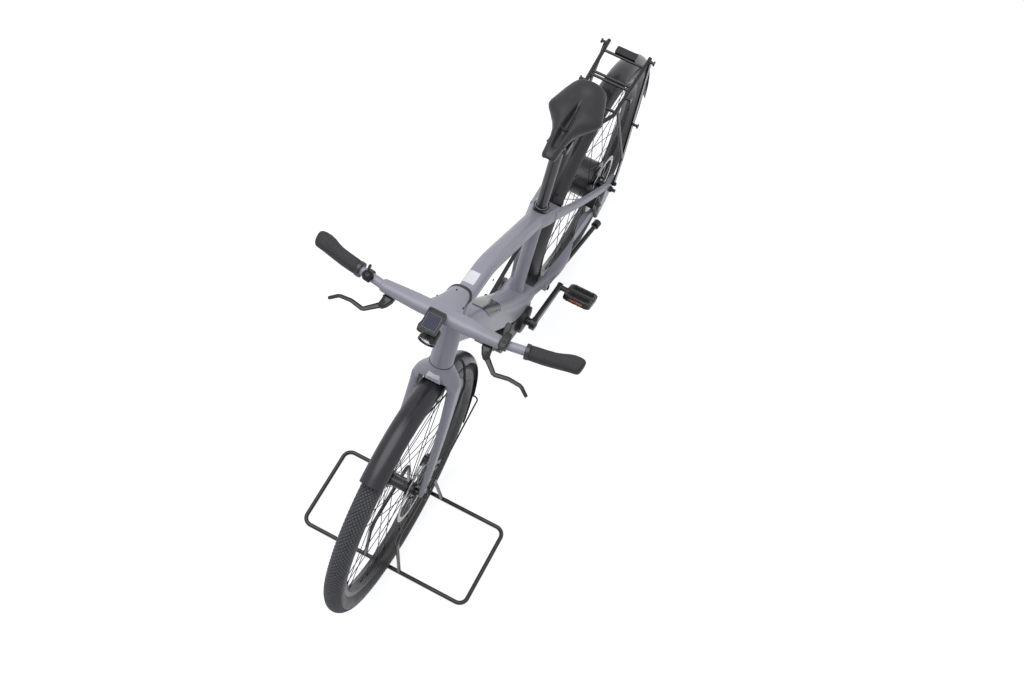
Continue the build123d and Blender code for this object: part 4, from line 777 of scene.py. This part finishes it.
# Pedals: moulded nylon cages on steel axles, with steel pins round both faces and an amber reflector
# let into each end.
coat(moulded_black, "pedal_left", "pedal_right")
amber = surface("amber_reflector", ("A8501C", "C06226"), 2.5, (0.15, 0.3), 1.4, 0.2, {"Coat Weight": 0.6})
pin_steel = surface("bright_steel_pin", ("6E6E72", "8A8A8E"), 2, (0.25, 0.35), 0.4, 0.01, {"Metallic": 1.0})
pin_spots = [(end * 0.042, row * 0.0115) for end in (1, -1) for row in (-2.4, -0.8, 0.8, 2.4)]
pin_spots += [(end * 0.019, side * 0.038) for end in (1, -1) for side in (1, -1)]
for name, hub in (
        ("left", Vector((-0.22895, 0.148, 0.25887))), ("right", Vector((0.10095, -0.148, 0.34113)))):
    bm = bmesh.new()
    place = Matrix.Translation(hub) @ Matrix.Rotation(radians(-36), 4, "Y")
    for face in (1, -1):
        for x, y in pin_spots:
            pin = lathe(((0.0, 0.0), (0.0022, 0.0), (0.0022, 0.0006), (0.0014, 0.0008), (0.0014, 0.0028),
                         (0.0, 0.0028)), 8)
            upright = Matrix.Translation((x, y, face * 0.0074)) @ Matrix.Scale(face, 4, (0, 0, 1))
            joined(bm, pin, place @ upright, 1)
    for end in (1, -1):
        reflector = rounded_block(0.0016, 0.042, 0.0050, 0.0006, 0.0003)
        joined(bm, reflector, place @ Matrix.Translation((end * 0.0471, 0, 0)))
    made("pedal_fittings_" + name, bm, [amber, pin_steel], "pedal_" + name)

# Seat post, collar and saddle clamp: black anodised tube and forged clamps with black bolts. The
# post is polished, so its highlight is narrower than the clamps'.
post_black = surface("polished_black_post", ("1A1A1D", "26262A"), 18, (0.18, 0.3), 0.5, 0.005,
                     {"Specular IOR Level": 0.7})
coat(post_black, "seatpost")
coat(black_anodised, "saddle_clamp")
bm = bmesh.new()
for y in (0.0205, -0.0205):
    joined(bm, bolt(0.0044, 0.003), found_on(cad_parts["saddle_clamp"], (-0.262, y, 0.87), (0, 0, 1)))
joined(bm, bolt(0.0040, 0.003), found_on(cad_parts["seat_collar"], (-0.205, 0.06, 0.688), (0, -1, 0)))
made("seat_bolts", bm, [screw_black], "frame")

# Saddle: polyurethane foam on a moulded shell under a black cover. The nose is narrow, the wings
# flare late, and a channel with a long slot relieves the middle. Its foam is firm and moulded, so its
# form is shaped directly.
saddle_cover = surface("black_saddle_cover", ("0E0E12", "15151A"), 20, (0.36, 0.48), 0.9, 0.06,
                       {"Sheen Weight": 0.15})
nose_x, saddle_length = -0.1745, 0.2550
# Rows from the nose back: share of the length, half width, height of the top and depth.
rows = (
    (0.000, 0.010, 0.9310, 0.010), (0.010, 0.0165, 0.9355, 0.016), (0.04, 0.0200, 0.9395, 0.020),
    (0.12, 0.0215, 0.9435, 0.023), (0.25, 0.0245, 0.9468, 0.026), (0.34, 0.0300, 0.9485, 0.028),
    (0.42, 0.0400, 0.9495, 0.029), (0.50, 0.0550, 0.9502, 0.029), (0.56, 0.0680, 0.9507, 0.028),
    (0.60, 0.0735, 0.9510, 0.027), (0.64, 0.0728, 0.9512, 0.026), (0.74, 0.0650, 0.9512, 0.026),
    (0.85, 0.0565, 0.9508, 0.025), (0.93, 0.0490, 0.9498, 0.022), (0.98, 0.0400, 0.9485, 0.017),
    (1.0, 0.0260, 0.9460, 0.011))
foam = skin([((nose_x - saddle_length * along, 0, top - depth / 2), width * 2, depth)
             for along, width, top, depth in rows], roundness=0.62, segments=40)
droop_depth, slot_depth, dish_depth, hollow_depth = 0.013, 0.0140, 0.0055, 0.008
bm = bmesh.new()
joined(bm, blended(foam, voxel=0.0016, rounds=6))
saddle = made("saddle_padded", bm, [saddle_cover], "frame", 180)
skinned = saddle.data
facing = [v.normal.z for v in skinned.vertices]
for v, rise in zip(skinned.vertices, facing):
    along = (nose_x - v.co.x) / saddle_length
    half = 0.010
    for (a, wide_a, _, _), (b, wide_b, _, _) in zip(rows, rows[1:]):
        if a <= along <= b:
            half = wide_a + (wide_b - wide_a) * (along - a) / (b - a)
    out = min(abs(v.co.y) / max(half, 0.008), 1.0)
    droop = droop_depth * out ** 2.2 * min(1.0, half / 0.05)
    slot = 1 / (1 + exp(-(along - 0.13) * 60)) / (1 + exp((along - 0.66) * 50))
    dish = 1 / (1 + exp(-(along - 0.12) * 40)) / (1 + exp((along - 0.86) * 30))
    bridge = exp(-((along - 0.37) / 0.014) ** 2)
    narrow = 0.0045 + 0.0060 * exp(-((along - 0.36) / 0.20) ** 2)
    upper = max(0.0, min(1.0, rise * 1.5))
    channel = slot_depth * slot * (1 - 0.6 * bridge) * exp(-(v.co.y / narrow) ** 4)
    channel += dish_depth * dish * exp(-(v.co.y / (0.010 + 0.014 * along)) ** 2)
    hollow = hollow_depth * max(0.0, -rise) * max(0.0, 1 - out ** 3)
    v.co.z += hollow - droop - channel * upper
skinned.update()
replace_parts(saddle, "saddle")

# Rack and its lamp: welded black aluminium tube with strap studs, bolted to the dropouts, and a lamp
# block with a ribbed red lens across its back. The kickstand and the floor stand have the same enamel.
coat(tube_black, "rack", "wheel_stand", "kickstand")
coat(moulded_black, "rear_lamp")
red_lens = surface("ribbed_red_lens", ("8E1014", "B0161B"), 4, (0.1, 0.2), 2.0, 0.15, {"Coat Weight": 0.7})
bm = bmesh.new()
for side in (1, -1):
    joined(bm, bolt(0.0058, 0.003), aimed((-0.554, side * 0.089, 0.372), (0, side, 0)))
made("rack_bolts", bm, [screw_black], "frame")
bm = bmesh.new()
joined(bm, rounded_block(0.0026, 0.052, 0.0100, 0.0008, 0.0006), Matrix.Translation((-0.6984, 0, 0.7700)))
made("rear_lamp_lens", bm, [red_lens], "frame")
